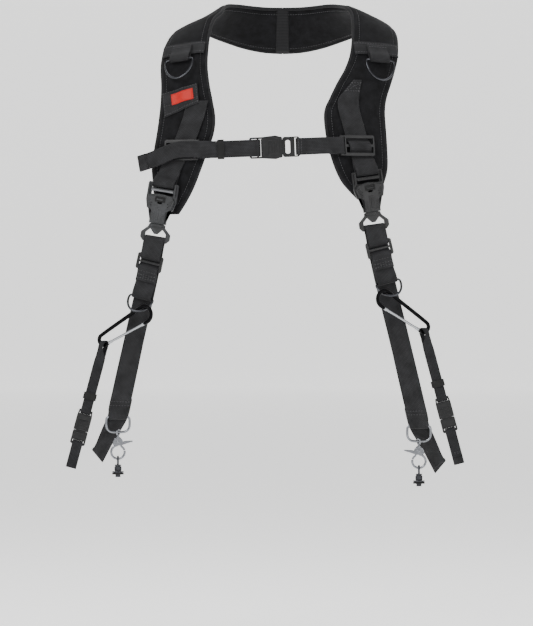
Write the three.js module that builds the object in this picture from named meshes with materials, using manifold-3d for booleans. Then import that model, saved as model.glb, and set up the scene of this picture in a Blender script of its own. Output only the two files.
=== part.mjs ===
// Dual camera harness: two padded shoulder straps joined behind the neck, a chest strap,
// and a webbing leg on each side that carries a camera hook and a safety tether.
// Millimetres, +Z up, the wearer faces -Y, and the origin is where the collar sits on the neck.
import * as THREE from 'three';
import { mergeVertices } from 'three/addons/utils/BufferGeometryUtils.js';
import Module from 'manifold-3d';

const wasm = await Module();
wasm.setup();

// Clearances
const GAP = 0.3;
const PAD_GAP = 0.6;

// Shoulder pads and collar
const SHOULDER_HALF = 110;
const CHEST_DEPTH = 100;
const NECK_BACK = 68;
const PAD_DROP = 217;
const PAD_WIDTH = 74;
const PAD_THICKNESS = 7;
const BINDING_THICKNESS = 3;
const PAD_CAMBER = 2;
const PAD_RINGS = 34;

// Webbing
const MAIN_WIDTH = 25;
const MAIN_THICKNESS = 1.6;
const PAD_WEBBING_WIDTH = 27;
const CHEST_WIDTH = 20;
const CHEST_THICKNESS = 1.4;
const TETHER_WIDTH = 12.5;
const TETHER_THICKNESS = 1.2;
const BAND_THICKNESS = 1.2;
const PATCH_THICKNESS = 1.2;

// Bars and wires
const BAR_RADIUS = 1.5;
const SLIDE_BAR = 2.6;
const SLIDE_THICKNESS = 2.4;
const DRING_WIRE = 1.4;
const HIP_WIRE = 1.5;
const CARABINER_WIRE = 2.4;
const WIRE_SIDES = 8;

// Quick-release buckles of the shoulder straps
const QR_WIDTH = 38;
const QR_LENGTH = 66;
const QR_UPPER_LENGTH = 47.5;
const QR_FRAME_THICKNESS = 4;
const QR_BODY_THICKNESS = 9;
const QR_STANDOFF = 6.2;
const QR_LEAN = 4;

// Tri-glides and the loops of the lower D-rings
const SLIDE_PITCH = 8.4;
const SLIDE_RAIL = 3.2;
const LOOP_WIDTH = 25;
const DRING_WIDTH = 31;
const DRING_HEIGHT = 23;
const LOWER_DRING_TILT = 40;
const DRING_SHOULDER = 2.5;

// The bands across the pads, their loops and D-rings, and the label patch
const BAND_WIDTH = 18;
const BAND_LIFT = 0.4;
const PAD_LOOP_WIDTH = 25;
const PAD_DRING_WIDTH = 36;
const PAD_DRING_HEIGHT = 27;
const PAD_DRING_TILT = -6;
const PAD_DRING_DROP = 10;
const PATCH_OUTER_HEIGHT = 31;
const PATCH_INNER_HEIGHT = 25;
const PATCH_OUTER_ROW = 7.65;
const PATCH_INNER_ROW = 8.35;
const PATCH_TURN = 12;

// Hip rings, hooks and camera studs
const HIP_RING_WIDTH = 31;
const HIP_RING_HEIGHT = 21.5;
const HIP_SEAM = 22;
const HIP_TOP_CORNER = 4;
const HIP_LOW_CORNER = 8;
const HIP_FOLD_WIDTH = 22;
const TAIL_SPLAY = 27.5;
const TAIL_TURN = 40;
const TAIL_SLANT = 8.5;
const EYE_RADIUS = 3.5;
const EYE_WIRE = 1.2;
const EYE_TURN = 20;
const SHANK_RADIUS = 1.6;
const SHANK_LENGTH = 3.6;
const HOOK_BODY_WIDTH = 12.4;
const HOOK_BODY_HEIGHT = 10.6;
const HOOK_BODY_THICKNESS = 6.4;
const HOOK_RING_RADIUS = 8;
const HOOK_RING_WIRE = 1.3;
const TRIGGER_REACH = 12;
const TRIGGER_THICKNESS = 2.4;
const STUD_BAIL_WIRE = 1.2;
const STUD_BAIL_HALF = 3.1;
const STUD_BAIL_HEIGHT = 8.6;
const STUD_RADIUS = 4;
const STUD_LENGTH = 8;
const FLANGE_RADIUS = 7;
const FLANGE_THICKNESS = 1.6;
const WASHER_THICKNESS = 2;
const THREAD_RADIUS = 3;
const THREAD_LENGTH = 5.5;

// Carabiners and tethers
const CARABINER_LENGTH = 88;
const CARABINER_BIG_RADIUS = 10;
const CARABINER_SMALL_RADIUS = 6.5;
const CARABINER_TURN = 34;
const GATE_WIRE = 1.9;
const NOSE_GAP = 0.5;
const HINGE_GAP = 0.9;
const NOSE_REACH = 5;
const RING_SEAT = 5.1;
const BOW_CONTACT = 55;
const TETHER_TILT = 15;
const TETHER_SLACK = 2.2;
const TETHER_FOLD_WIDTH = 7;
const TETHER_BUCKLE_AT = 79;
const KEEPER_TO_BUCKLE = 16;
const KEEPER_WALL = 1.3;
const KEEPER_LENGTH = 8;
const TETHER_BUCKLE_WIDTH = 18;
const TETHER_FEMALE_LENGTH = 26;
const TETHER_MALE_LENGTH = 18;
const TETHER_BUCKLE_THICKNESS = 6;

// Chest strap and its buckle
const SLIDER_WIDTH = 37;
const SLIDER_HEIGHT = 25;
const SLIDER_STANDOFF = 4.2;
const SLIDER_SLACK = 0.2;
const SLIDER_RAIL = 1.8;
const EAR_REACH = 4.1;
const CHEST_KEEPER_AT = 29;
const CHEST_FEMALE_AT = 63;
const CHEST_FEMALE_LENGTH = 39;
const CHEST_MALE_LENGTH = 20.5;
const CHEST_BUCKLE_HEIGHT = 28;
const CHEST_BUCKLE_THICKNESS = 7;
const ADJUSTER_BAR_AT = 10;
const ADJUSTER_FOLD = 2.6;
const EAR_RUN = 18;

const neoprene = { color: 0x202022, roughness: 0.95, metalness: 0 };
const webbing = { color: 0x2e2e30, roughness: 0.85, metalness: 0 };
const plastic = { color: 0x1c1c1e, roughness: 0.5, metalness: 0 };
const greyPlastic = { color: 0x3a3b3d, roughness: 0.45, metalness: 0 };
const darkMetal = { color: 0x3c3c40, roughness: 0.35, metalness: 1 };
const chrome = { color: 0xc8cacc, roughness: 0.18, metalness: 1 };
const blackMetal = { color: 0x18181a, roughness: 0.4, metalness: 0.6 };
const silver = { color: 0xb4b6b8, roughness: 0.3, metalness: 1 };
const rubber = { color: 0x161616, roughness: 0.9, metalness: 0 };

// One row for each section of a pad, from its lower tip to the crest of the shoulder.
// x, forward, down and width are shares of SHOULDER_HALF, CHEST_DEPTH, PAD_DROP and PAD_WIDTH.
// recede and drop are the angles by which the outer edge turns back and down.
const RIGHT_FRONT = [
  { x: 0.898, forward: 1.0, down: 1.0, width: 0.28, recede: 16, drop: 0 },
  { x: 0.882, forward: 1.0, down: 0.955, width: 0.5, recede: 16, drop: 0 },
  { x: 0.862, forward: 0.995, down: 0.905, width: 0.69, recede: 16, drop: 0 },
  { x: 0.844, forward: 0.985, down: 0.834, width: 0.85, recede: 17, drop: 0 },
  { x: 0.812, forward: 0.96, down: 0.735, width: 0.95, recede: 18, drop: 0 },
  { x: 0.785, forward: 0.92, down: 0.625, width: 1.0, recede: 19, drop: 0 },
  { x: 0.776, forward: 0.86, down: 0.526, width: 1.0, recede: 20, drop: 0 },
  { x: 0.816, forward: 0.8, down: 0.45, width: 0.93, recede: 20, drop: 0 },
  { x: 0.876, forward: 0.73, down: 0.373, width: 0.89, recede: 20, drop: 0 },
  { x: 0.941, forward: 0.65, down: 0.296, width: 0.83, recede: 20, drop: 0 },
  { x: 0.987, forward: 0.56, down: 0.219, width: 0.79, recede: 20, drop: 2 },
  { x: 1.003, forward: 0.44, down: 0.142, width: 0.78, recede: 22, drop: 6 },
  { x: 1.0, forward: 0.29, down: 0.066, width: 0.79, recede: 25, drop: 12 },
  { x: 0.97, forward: 0.14, down: 0.012, width: 0.79, recede: 30, drop: 17 },
  { x: 0.89, forward: 0.0, down: -0.018, width: 0.8, recede: 40, drop: 20 },
];
const LEFT_FRONT = [
  { x: 1.212, forward: 1.0, down: 1.08, width: 0.26, recede: 18, drop: 0 },
  { x: 1.206, forward: 1.0, down: 1.025, width: 0.46, recede: 18, drop: 0 },
  { x: 1.192, forward: 0.995, down: 0.97, width: 0.6, recede: 18, drop: 0 },
  { x: 1.172, forward: 0.985, down: 0.915, width: 0.69, recede: 18, drop: 0 },
  { x: 1.143, forward: 0.97, down: 0.82, width: 0.82, recede: 18, drop: 0 },
  { x: 1.098, forward: 0.95, down: 0.728, width: 0.885, recede: 19, drop: 0 },
  { x: 1.055, forward: 0.92, down: 0.641, width: 0.935, recede: 20, drop: 0 },
  { x: 1.037, forward: 0.87, down: 0.556, width: 0.922, recede: 20, drop: 0 },
  { x: 1.043, forward: 0.8, down: 0.466, width: 0.85, recede: 20, drop: 0 },
  { x: 1.058, forward: 0.73, down: 0.374, width: 0.79, recede: 20, drop: 0 },
  { x: 1.073, forward: 0.63, down: 0.282, width: 0.77, recede: 20, drop: 2 },
  { x: 1.064, forward: 0.51, down: 0.2, width: 0.77, recede: 22, drop: 6 },
  { x: 1.036, forward: 0.37, down: 0.12, width: 0.78, recede: 25, drop: 12 },
  { x: 0.975, forward: 0.18, down: 0.045, width: 0.79, recede: 30, drop: 17 },
  { x: 0.87, forward: 0.0, down: 0.01, width: 0.8, recede: 40, drop: 20 },
];
// The collar behind the neck, from the crest to the seam: back is a share of NECK_BACK.
const COLLAR = [
  { x: 0.764, back: 0.353, down: -0.012, width: 0.79, recede: 52, drop: 30 },
  { x: 0.6, back: 0.647, down: 0.002, width: 0.79, recede: 63, drop: 42 },
  { x: 0.4, back: 0.853, down: 0.024, width: 0.79, recede: 73, drop: 53 },
  { x: 0.2, back: 0.97, down: 0.038, width: 0.79, recede: 82, drop: 60 },
];
const SEAM = {
  x: 0.5 * GAP / SHOULDER_HALF, back: 1.0, down: 0.042, width: 0.79, recede: 90, drop: 63,
};

// Where the webbing crosses each pad: row is the pad section, across the share of half the width.
const SIDES = {
  left: {
    sign: -1,
    front: LEFT_FRONT,
    webbingPath: [
      { row: 7.9, across: -0.5 }, { row: 7.25, across: -0.37 }, { row: 6.35, across: -0.23 },
      { row: 5.5, across: -0.15 }, { row: 4.9, across: -0.07 }, { row: 4.3, across: 0.03 },
      { row: 3.7, across: 0.16 }, { row: 3.2, across: 0.27 }, { row: 2.72, across: 0.34 },
    ],
    sliderRow: 4.8,
    bandRow: 11.1,
    patch: {
      outer: { row: PATCH_OUTER_ROW, share: 0.86 },
      inner: { row: PATCH_INNER_ROW, share: -0.58 },
    },
    qrTilt: 9,
    legTilt: 12.4,
    legRecede: 5,
    strapLength: 217,
    slideAt: 28.7,
    hemAt: 52,
    lowerDringAt: 70,
    carabinerSlope: 27,
    tetherLength: 151,
    tailLength: 37,
  },
  right: {
    sign: 1,
    front: RIGHT_FRONT,
    webbingPath: [
      { row: 8.2, across: -0.36, width: 0.4 }, { row: 7.5, across: -0.38, width: 0.7 },
      { row: 6.8, across: -0.4, width: 1 }, { row: 5.45, across: -0.17 }, { row: 4.8, across: -0.1 }, { row: 4.2, across: -0.04 },
      { row: 3.6, across: 0.03 }, { row: 2.6, across: 0.07 },
    ],
    sliderRow: 4.12,
    bandRow: 10.4,
    patch: null,
    qrTilt: 8,
    legTilt: 13.2,
    legRecede: 4,
    strapLength: 243,
    slideAt: 26,
    hemAt: 50.7,
    lowerDringAt: 66,
    carabinerSlope: 30,
    tetherLength: 162,
    tailLength: 39,
  },
};

const model = new THREE.Group();

// General helpers
const vec = (x, y, z) => new THREE.Vector3(x, y, z);
const radians = THREE.MathUtils.degToRad;

function part(name, geometry, look) {
  const mesh = new THREE.Mesh(geometry, new THREE.MeshStandardMaterial(look));
  mesh.name = name;
  model.add(mesh);
  return mesh;
}

function toSolid(geometry) {
  const bare = geometry.index ? geometry.toNonIndexed() : geometry.clone();
  bare.deleteAttribute('normal');
  bare.deleteAttribute('uv');
  const merged = mergeVertices(bare, 1e-3);
  return new wasm.Manifold(new wasm.Mesh({
    numProp: 3,
    vertProperties: new Float32Array(merged.attributes.position.array),
    triVerts: new Uint32Array(merged.index.array),
  }));
}

function toGeometry(solid) {
  const mesh = solid.getMesh();
  const geometry = new THREE.BufferGeometry();
  geometry.setAttribute('position', new THREE.BufferAttribute(new Float32Array(mesh.vertProperties), 3));
  geometry.setIndex(new THREE.BufferAttribute(new Uint32Array(mesh.triVerts), 1));
  return geometry;
}

function join(...geometries) {
  return toGeometry(geometries.map(toSolid).reduce((whole, piece) => whole.add(piece)));
}

function cut(geometry, ...tools) {
  return toGeometry(tools.map(toSolid).reduce((whole, tool) => whole.subtract(tool), toSolid(geometry)));
}

// Rings of points, all wound the same way, become one closed body with flat or joined ends.
function skin(rings, closed) {
  const size = rings[0].length;
  const positions = rings.flat().flatMap((p) => [p.x, p.y, p.z]);
  const index = [];
  const last = closed ? rings.length : rings.length - 1;
  for (let i = 0; i < last; i += 1) {
    const next = (i + 1) % rings.length;
    for (let j = 0; j < size; j += 1) {
      const k = (j + 1) % size;
      index.push(i * size + j, i * size + k, next * size + k);
      index.push(i * size + j, next * size + k, next * size + j);
    }
  }
  if (!closed) {
    const end = (rings.length - 1) * size;
    for (let j = 1; j < size - 1; j += 1) {
      index.push(0, j + 1, j);
      index.push(end, end + j, end + j + 1);
    }
  }
  const geometry = new THREE.BufferGeometry();
  geometry.setAttribute('position', new THREE.Float32BufferAttribute(positions, 3));
  geometry.setIndex(index);
  return facingOut(geometry);
}

// Turns every triangle round where the body's signed volume is negative.
function facingOut(geometry) {
  const p = geometry.attributes.position;
  const index = geometry.index.array;
  const a = vec(0, 0, 0);
  const b = vec(0, 0, 0);
  const c = vec(0, 0, 0);
  let volume = 0;
  for (let i = 0; i < index.length; i += 3) {
    a.fromBufferAttribute(p, index[i]);
    b.fromBufferAttribute(p, index[i + 1]);
    c.fromBufferAttribute(p, index[i + 2]);
    volume += a.dot(b.cross(c));
  }
  if (volume < 0) {
    for (let i = 0; i < index.length; i += 3) {
      [index[i + 1], index[i + 2]] = [index[i + 2], index[i + 1]];
    }
  }
  return geometry;
}

// A flat strap along rows of { point, across }: mitred so that bends keep their thickness.
function strap(rows, width, thickness) {
  const rings = rows.map((row, i) => {
    const back = row.point.clone().sub(rows[Math.max(i - 1, 0)].point);
    const ahead = rows[Math.min(i + 1, rows.length - 1)].point.clone().sub(row.point);
    const first = (i === 0 ? ahead : back).clone().normalize();
    const second = (i === rows.length - 1 ? back : ahead).clone().normalize();
    const tangent = first.clone().add(second).normalize();
    const mitre = 1 / Math.max(tangent.dot(first), 0.7);
    const normal = tangent.clone().cross(row.across).normalize();
    const side = row.across.clone().multiplyScalar(0.5 * (row.width ?? width));
    const lift = normal.multiplyScalar(0.5 * thickness * mitre);
    const skew = tangent.clone().multiplyScalar(row.skew ?? 0);
    return [
      row.point.clone().add(side).add(lift).add(skew),
      row.point.clone().sub(side).add(lift).sub(skew),
      row.point.clone().sub(side).sub(lift).sub(skew),
      row.point.clone().add(side).sub(lift).add(skew),
    ];
  });
  return skin(rings, false);
}

// Rows between the given rows, so that a twist is shared out among many short faces.
function finer(rows, parts) {
  return rows.flatMap((row, i) => {
    const next = rows[i + 1];
    if (!next) return [row];
    return Array.from({ length: parts }, (_, k) => {
      const share = k / parts;
      return {
        point: row.point.clone().lerp(next.point, share),
        across: row.across.clone().lerp(next.across, share).normalize(),
        skew: THREE.MathUtils.lerp(row.skew ?? 0, next.skew ?? 0, share),
      };
    });
  });
}

// A round wire along points, swept by a transported frame.
function wire(points, radius, closed, sides = WIRE_SIDES) {
  const count = points.length;
  const tangents = points.map((p, i) => {
    const before = closed ? points[(i + count - 1) % count] : points[Math.max(i - 1, 0)];
    const after = closed ? points[(i + 1) % count] : points[Math.min(i + 1, count - 1)];
    return after.clone().sub(before).normalize();
  });
  const middle = points.reduce((sum, p) => sum.add(p), vec(0, 0, 0)).divideScalar(count);
  const flat = vec(0, 0, 0);
  for (let i = 0; i < count - 1; i += 1) {
    flat.add(points[i].clone().sub(middle).cross(points[i + 1].clone().sub(middle)));
  }
  if (flat.length() < 1e-6) {
    flat.copy(Math.abs(tangents[0].x) < 0.9 ? vec(1, 0, 0) : vec(0, 1, 0)).cross(tangents[0]);
  }
  flat.normalize();
  const rings = points.map((p, i) => {
    const side = tangents[i].clone().cross(flat).normalize();
    const up = side.clone().cross(tangents[i]).normalize();
    return Array.from({ length: sides }, (_, j) => {
      const angle = (2 * Math.PI * (j + 0.5)) / sides;
      return p.clone()
        .addScaledVector(side, radius * Math.cos(angle))
        .addScaledVector(up, radius * Math.sin(angle));
    });
  });
  return skin(rings, closed);
}

// Points on an arc in the plane of two unit vectors, from and to in degrees.
function arc(centre, radius, u, v, from, to, steps) {
  return Array.from({ length: steps + 1 }, (_, i) => {
    const angle = radians(from + ((to - from) * i) / steps);
    return centre.clone()
      .addScaledVector(u, radius * Math.cos(angle))
      .addScaledVector(v, radius * Math.sin(angle));
  });
}

// A frame has x across to the viewer's right, y up along the piece and z out of its face.
function frame(origin, down, face) {
  const up = down.clone().negate().normalize();
  const across = up.clone().cross(face).normalize();
  const out = across.clone().cross(up).normalize();
  return new THREE.Matrix4().makeBasis(across, up, out).setPosition(origin);
}

const inFrame = (matrix, x, y, z) => vec(x, y, z).applyMatrix4(matrix);
const acrossOf = (matrix) => vec(0, 0, 0).setFromMatrixColumn(matrix, 0);
const upOf = (matrix) => vec(0, 0, 0).setFromMatrixColumn(matrix, 1);
const outOf = (matrix) => vec(0, 0, 0).setFromMatrixColumn(matrix, 2);

// A plate from an outline and holes, centred on z = 0 of its frame.
function extruded(outline, thickness, lift) {
  const shape = new THREE.Shape(outline.map(([x, y]) => new THREE.Vector2(x, y)));
  const geometry = new THREE.ExtrudeGeometry(shape, { depth: thickness, bevelEnabled: false });
  return geometry.translate(0, 0, lift - 0.5 * thickness);
}

function plate(outline, holes, thickness, lift = 0) {
  const blank = extruded(outline, thickness, lift);
  return holes.length ? cut(blank, ...holes.map((hole) => extruded(hole, thickness + 2, lift))) : blank;
}

function rectangle(x0, x1, y0, y1) {
  return [[x0, y0], [x1, y0], [x1, y1], [x0, y1]];
}

// A rectangle whose corners are cut by a chamfer.
function softRectangle(x0, x1, y0, y1, c) {
  return [
    [x0 + c, y0], [x1 - c, y0], [x1, y0 + c], [x1, y1 - c],
    [x1 - c, y1], [x0 + c, y1], [x0, y1 - c], [x0, y0 + c],
  ];
}

// Rows of a ribbon from [distance down, depth] pairs in a frame.
function ribbonRows(matrix, path, across = acrossOf(matrix)) {
  return path.map(([down, depth]) => ({ point: inFrame(matrix, 0, -down, depth), across }));
}

// [down, depth] pairs round a bar: the ribbon's middle keeps the given radius.
function foldRound(down, depth, radius, from, to, steps = 6) {
  return Array.from({ length: steps + 1 }, (_, i) => {
    const angle = radians(from + ((to - from) * i) / steps);
    return [down + radius * Math.cos(angle), depth + radius * Math.sin(angle)];
  });
}

// Shoulder pads: sections follow the tables, with a crowned front and a thinner bound edge.
const FRONT_SHARES = [-1, -0.85, -0.5, 0, 0.5, 0.85, 1];
const BACK_SHARES = [1, 0.6, 0, -0.6, -1];

function catmullRom(rows, key, t) {
  const i = Math.min(Math.max(Math.floor(t), 0), rows.length - 2);
  const f = t - i;
  const at = (k) => rows[Math.min(Math.max(k, 0), rows.length - 1)][key];
  const [a, b, c, d] = [at(i - 1), at(i), at(i + 1), at(i + 2)];
  const rise = c - a + f * (2 * a - 5 * b + 4 * c - d + f * (3 * (b - c) + d - a));
  return b + 0.5 * f * rise;
}

function padRows(side) {
  const front = side.front.map((row) => ({ ...row, y: -row.forward * CHEST_DEPTH }));
  const back = [...COLLAR, SEAM].map((row) => ({ ...row, y: row.back * NECK_BACK }));
  return [...front, ...back].map((row) => ({
    ...row,
    x: side.sign * row.x * SHOULDER_HALF,
    z: -row.down * PAD_DROP,
    half: 0.5 * row.width * PAD_WIDTH,
  }));
}

function padCentre(rows, t) {
  return vec(catmullRom(rows, 'x', t), catmullRom(rows, 'y', t), catmullRom(rows, 'z', t));
}

function padSection(side, rows, t) {
  const last = rows.length - 1;
  const recede = radians(catmullRom(rows, 'recede', t));
  const drop = radians(catmullRom(rows, 'drop', t));
  const outward = vec(
    side.sign * Math.cos(recede) * Math.cos(drop),
    Math.sin(recede) * Math.cos(drop),
    -Math.sin(drop),
  );
  const tangent = padCentre(rows, Math.min(t + 0.05, last)).sub(padCentre(rows, Math.max(t - 0.05, 0)));
  if (t >= last) tangent.set(-side.sign, 0, 0);
  const normal = outward.clone().cross(tangent).multiplyScalar(side.sign).normalize();
  return {
    centre: padCentre(rows, t),
    outward,
    normal,
    half: catmullRom(rows, 'half', t),
    fullness: Math.min(1, 0.55 + 0.3 * t),
  };
}

function crown(share) {
  if (Math.abs(share) > 0.99) return 0.5 * BINDING_THICKNESS;
  return 0.5 * PAD_THICKNESS + PAD_CAMBER * (1 - share * share);
}

function crownBetween(share) {
  const k = Math.max(0, Math.min(FRONT_SHARES.findIndex((s) => s > share) - 1, FRONT_SHARES.length - 2));
  const [from, to] = [FRONT_SHARES[k], FRONT_SHARES[k + 1]];
  return THREE.MathUtils.lerp(crown(from), crown(to), (share - from) / (to - from));
}

function sectionPoint(section, share, height) {
  return section.centre.clone()
    .addScaledVector(section.outward, share * section.half)
    .addScaledVector(section.normal, height * section.fullness);
}

function sectionRing(section) {
  const front = FRONT_SHARES.map((share) => sectionPoint(section, share, crown(share)));
  const back = BACK_SHARES.map((share) => {
    const edge = Math.abs(share) > 0.99 ? BINDING_THICKNESS : PAD_THICKNESS;
    return sectionPoint(section, share, -0.5 * edge);
  });
  return [...front, ...back];
}

function makePadSurface(side) {
  const rows = padRows(side);
  const last = rows.length - 1;
  const stations = Array.from({ length: PAD_RINGS }, (_, i) => (i * last) / (PAD_RINGS - 1));
  const sections = stations.map((t) => padSection(side, rows, t));
  const pitch = last / (PAD_RINGS - 1);
  // A point and the face directions on the pad's own facets, at a lift above its front.
  const at = (t, share, lift = 0) => {
    const i = Math.min(Math.floor(t / pitch), PAD_RINGS - 2);
    const f = t / pitch - i;
    const [a, b] = [sections[i], sections[i + 1]];
    const point = sectionPoint(a, share, crownBetween(share))
      .lerp(sectionPoint(b, share, crownBetween(share)), f);
    const normal = a.normal.clone().lerp(b.normal, f).normalize();
    const outward = a.outward.clone().lerp(b.outward, f).normalize();
    return { point: point.addScaledVector(normal, lift), normal, outward };
  };
  return { stations, sections, pitch, at };
}

// Up the pad, towards the shoulder, in its face.
function upOnPad(side, spot) {
  return spot.normal.clone().cross(spot.outward).multiplyScalar(side.sign).normalize();
}

// Rows for a strip that lies across or along a pad: a list of { t, share, lift }.
function padStripRows(surface, places, acrossOfPlace) {
  return places.map((place) => {
    const spot = surface.at(place.t, place.share, place.lift);
    return { point: spot.point, across: acrossOfPlace(spot), width: place.width };
  });
}

const SURFACES = {
  left: makePadSurface(SIDES.left),
  right: makePadSurface(SIDES.right),
};

for (const [name, side] of Object.entries(SIDES)) {
  part(`shoulder_pad_${name}`, skin(SURFACES[name].sections.map(sectionRing), false), neoprene);
  side.surface = SURFACES[name];
}

// A value of the webbing's path at a pad section: where its middle lies across the pad, or its width.
function onPath(side, key, t, otherwise) {
  const path = side.webbingPath;
  const k = Math.max(1, path.findIndex((place) => place.row <= t));
  const [above, below] = [path[k - 1], path[k]];
  const share = (t - below.row) / (above.row - below.row);
  return THREE.MathUtils.lerp(below[key] ?? otherwise, above[key] ?? otherwise, share);
}

const webbingShare = (side, t) => onPath(side, 'across', t, 0);

// Sections per millimetre along the webbing near a section.
function rowsPerMillimetre(side, t) {
  const step = 0.2;
  const upper = side.surface.at(t + step, webbingShare(side, t + step)).point;
  const lower = side.surface.at(t - step, webbingShare(side, t - step)).point;
  return (2 * step) / upper.distanceTo(lower);
}

const layLift = PAD_GAP + 0.5 * MAIN_THICKNESS;
const foldRadius = 1.35 * BAR_RADIUS + GAP + 0.5 * MAIN_THICKNESS;
const bulge = SLIDER_STANDOFF + 0.5 * SLIDE_THICKNESS + GAP + SLIDER_SLACK + 0.5 * MAIN_THICKNESS;

// [distance from the slider's middle, lift], up the strap: under, over and under its bars.
const SLIDER_WAVE = [
  [-13, layLift], [-7.8, layLift], [-2.1, bulge], [2.1, bulge], [7.8, layLift], [13, layLift],
];

function padWebbing(name, side) {
  const { surface, webbingPath } = side;
  const top = webbingPath[0].row;
  const barRow = webbingPath[webbingPath.length - 1].row;
  const scale = rowsPerMillimetre(side, side.sliderRow);
  const barScale = rowsPerMillimetre(side, barRow + 0.25);
  const wave = SLIDER_WAVE.map(([mm, lift]) => ({ t: side.sliderRow + mm * scale, lift }));
  const rise = [
    [15.5, layLift + MAIN_THICKNESS + GAP], [9.5, layLift + 3.9], [4, QR_STANDOFF + foldRadius],
  ].map(([mm, lift]) => ({ t: barRow + mm * barScale, lift }));
  const between = surface.stations
    .filter((t) => t < top && t > rise[0].t)
    .filter((t) => Math.abs(t - side.sliderRow) > 14 * scale)
    .map((t) => ({ t, lift: layLift }));
  const places = [{ t: top, lift: layLift }, ...between, ...wave, ...rise]
    .sort((a, b) => b.t - a.t)
    .map((place) => ({
      ...place,
      share: webbingShare(side, place.t),
      width: PAD_WEBBING_WIDTH * onPath(side, 'width', place.t, 1),
    }));
  const spot = surface.at(barRow, webbingShare(side, barRow), QR_STANDOFF);
  const padAcross = spot.outward.clone().multiplyScalar(side.sign);
  const lean = radians(QR_LEAN);
  const down = upOnPad(side, spot).negate().applyAxisAngle(spot.normal, radians(side.sign * side.qrTilt))
    .applyAxisAngle(padAcross, lean);
  side.qrFrame = frame(spot.point, down, spot.normal.clone().applyAxisAngle(padAcross, lean));
  const barAcross = acrossOf(side.qrFrame);
  const across = (place) => place.outward.clone().multiplyScalar(side.sign);
  const nearBar = places.length - 2;
  const rows = [
    ...padStripRows(surface, places.slice(0, nearBar), across),
    ...padStripRows(surface, places.slice(nearBar), () => barAcross),
    ...ribbonRows(side.qrFrame, foldRound(0, 0, foldRadius, 90, -90), barAcross),
  ];
  const behind = [[4, 2.6], [9, 2.0], [14, layLift]].map(([mm, lift]) => ({
    t: barRow + mm * barScale, share: webbingShare(side, barRow + mm * barScale), lift,
  }));
  rows.push(...padStripRows(surface, behind.slice(0, 2), () => barAcross));
  rows.push(...padStripRows(surface, behind.slice(2), across));
  part(`pad_webbing_${name}`, strap(rows, PAD_WEBBING_WIDTH, MAIN_THICKNESS), webbing);
}

// The buckle's upper half: a frame with two bars and a thicker latch body that narrows to a barrel.
function qrUpper(name, side) {
  const half = 0.5 * QR_WIDTH;
  const slotHalf = 0.5 * PAD_WEBBING_WIDTH + 2 * GAP;
  const end = -QR_UPPER_LENGTH;
  const outline = [
    [-half + 1, BAR_RADIUS], [half - 1, BAR_RADIUS], [half, 0], [half, -20],
    [0.86 * half, -30], [0.56 * half, -32],
    [0.56 * half, end], [-0.56 * half, end], [-0.56 * half, -32], [-0.86 * half, -30],
    [-half, -20], [-half, 0],
  ];
  const foldSlot = rectangle(-slotHalf, slotHalf, -5.6, -BAR_RADIUS);
  const overSlot = rectangle(-slotHalf, slotHalf, -13, -8.6);
  const plateFrame = plate(outline, [foldSlot, overSlot], 2 * BAR_RADIUS);
  const bodyOutline = [
    [-0.8 * half, -15.5], [-0.4 * half, -13.6], [0.4 * half, -13.6], [0.8 * half, -15.5],
    [0.93 * half, -20], [0.78 * half, -29], [0.48 * half, -32.5], [0.48 * half, end],
    [-0.48 * half, end], [-0.48 * half, -32.5], [-0.78 * half, -29], [-0.93 * half, -20],
  ];
  const window = softRectangle(-3, 3, -24, -20.5, 0.8);
  const body = plate(bodyOutline, [window], QR_BODY_THICKNESS);
  const recess = plate(softRectangle(-6.5, 6.5, -18.6, -15.2, 1.4), [], 3, 0.5 * QR_BODY_THICKNESS);
  const shape = cut(join(plateFrame, body), recess, plate(window, [], 2 * QR_BODY_THICKNESS));
  const look = side.sign < 0 ? greyPlastic : plastic;
  part(`qr_buckle_upper_${name}`, shape.applyMatrix4(side.qrFrame), look);
}

// The lower half: a wishbone with a centre tip, whose end bar carries the leg's webbing.
function qrLower(name, side) {
  const half = 0.5 * QR_WIDTH - 0.5;
  const top = -QR_UPPER_LENGTH - GAP;
  const bar = -QR_LENGTH;
  const slotHalf = 0.5 * MAIN_WIDTH + 2 * GAP;
  const outline = [
    [-0.5 * half, top], [-0.58 * half, top - 4], [-half, bar + 7], [-half, bar + 0.5],
    [-0.8 * half, bar - 3.5], [0.8 * half, bar - 3.5], [half, bar + 0.5], [half, bar + 7],
    [0.58 * half, top - 4], [0.5 * half, top],
  ];
  const window = [
    [-slotHalf, bar + BAR_RADIUS], [slotHalf, bar + BAR_RADIUS], [slotHalf, bar + 7],
    [0.42 * half, top - 6], [2, bar + 6], [-2, bar + 6], [-0.42 * half, top - 6], [-slotHalf, bar + 7],
  ];
  const under = rectangle(-slotHalf, slotHalf, bar - 6, bar - BAR_RADIUS);
  const bodyPlate = cut(plate(outline, [window], 2 * BAR_RADIUS), plate(under, [], QR_BODY_THICKNESS));
  const neck = plate([
    [-0.42 * half, top], [-0.42 * half, top - 4], [0.42 * half, top - 4], [0.42 * half, top],
  ], [], QR_FRAME_THICKNESS + 2.5);
  const look = side.sign < 0 ? greyPlastic : plastic;
  part(`qr_buckle_lower_${name}`, join(bodyPlate, neck).applyMatrix4(side.qrFrame), look);
}

// The leg: one webbing from its hem, through the tri-glide, over the wishbone and down to the hip ring.
const slideLift = 0.5 * SLIDE_THICKNESS + GAP + 0.5 * MAIN_THICKNESS;
const ply = MAIN_THICKNESS + GAP;
const backDepth = -(slideLift + ply + 0.1);
const loopFold = DRING_WIRE + GAP + 0.5 * MAIN_THICKNESS;
const hipFold = HIP_WIRE + GAP + 0.5 * MAIN_THICKNESS;

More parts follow.
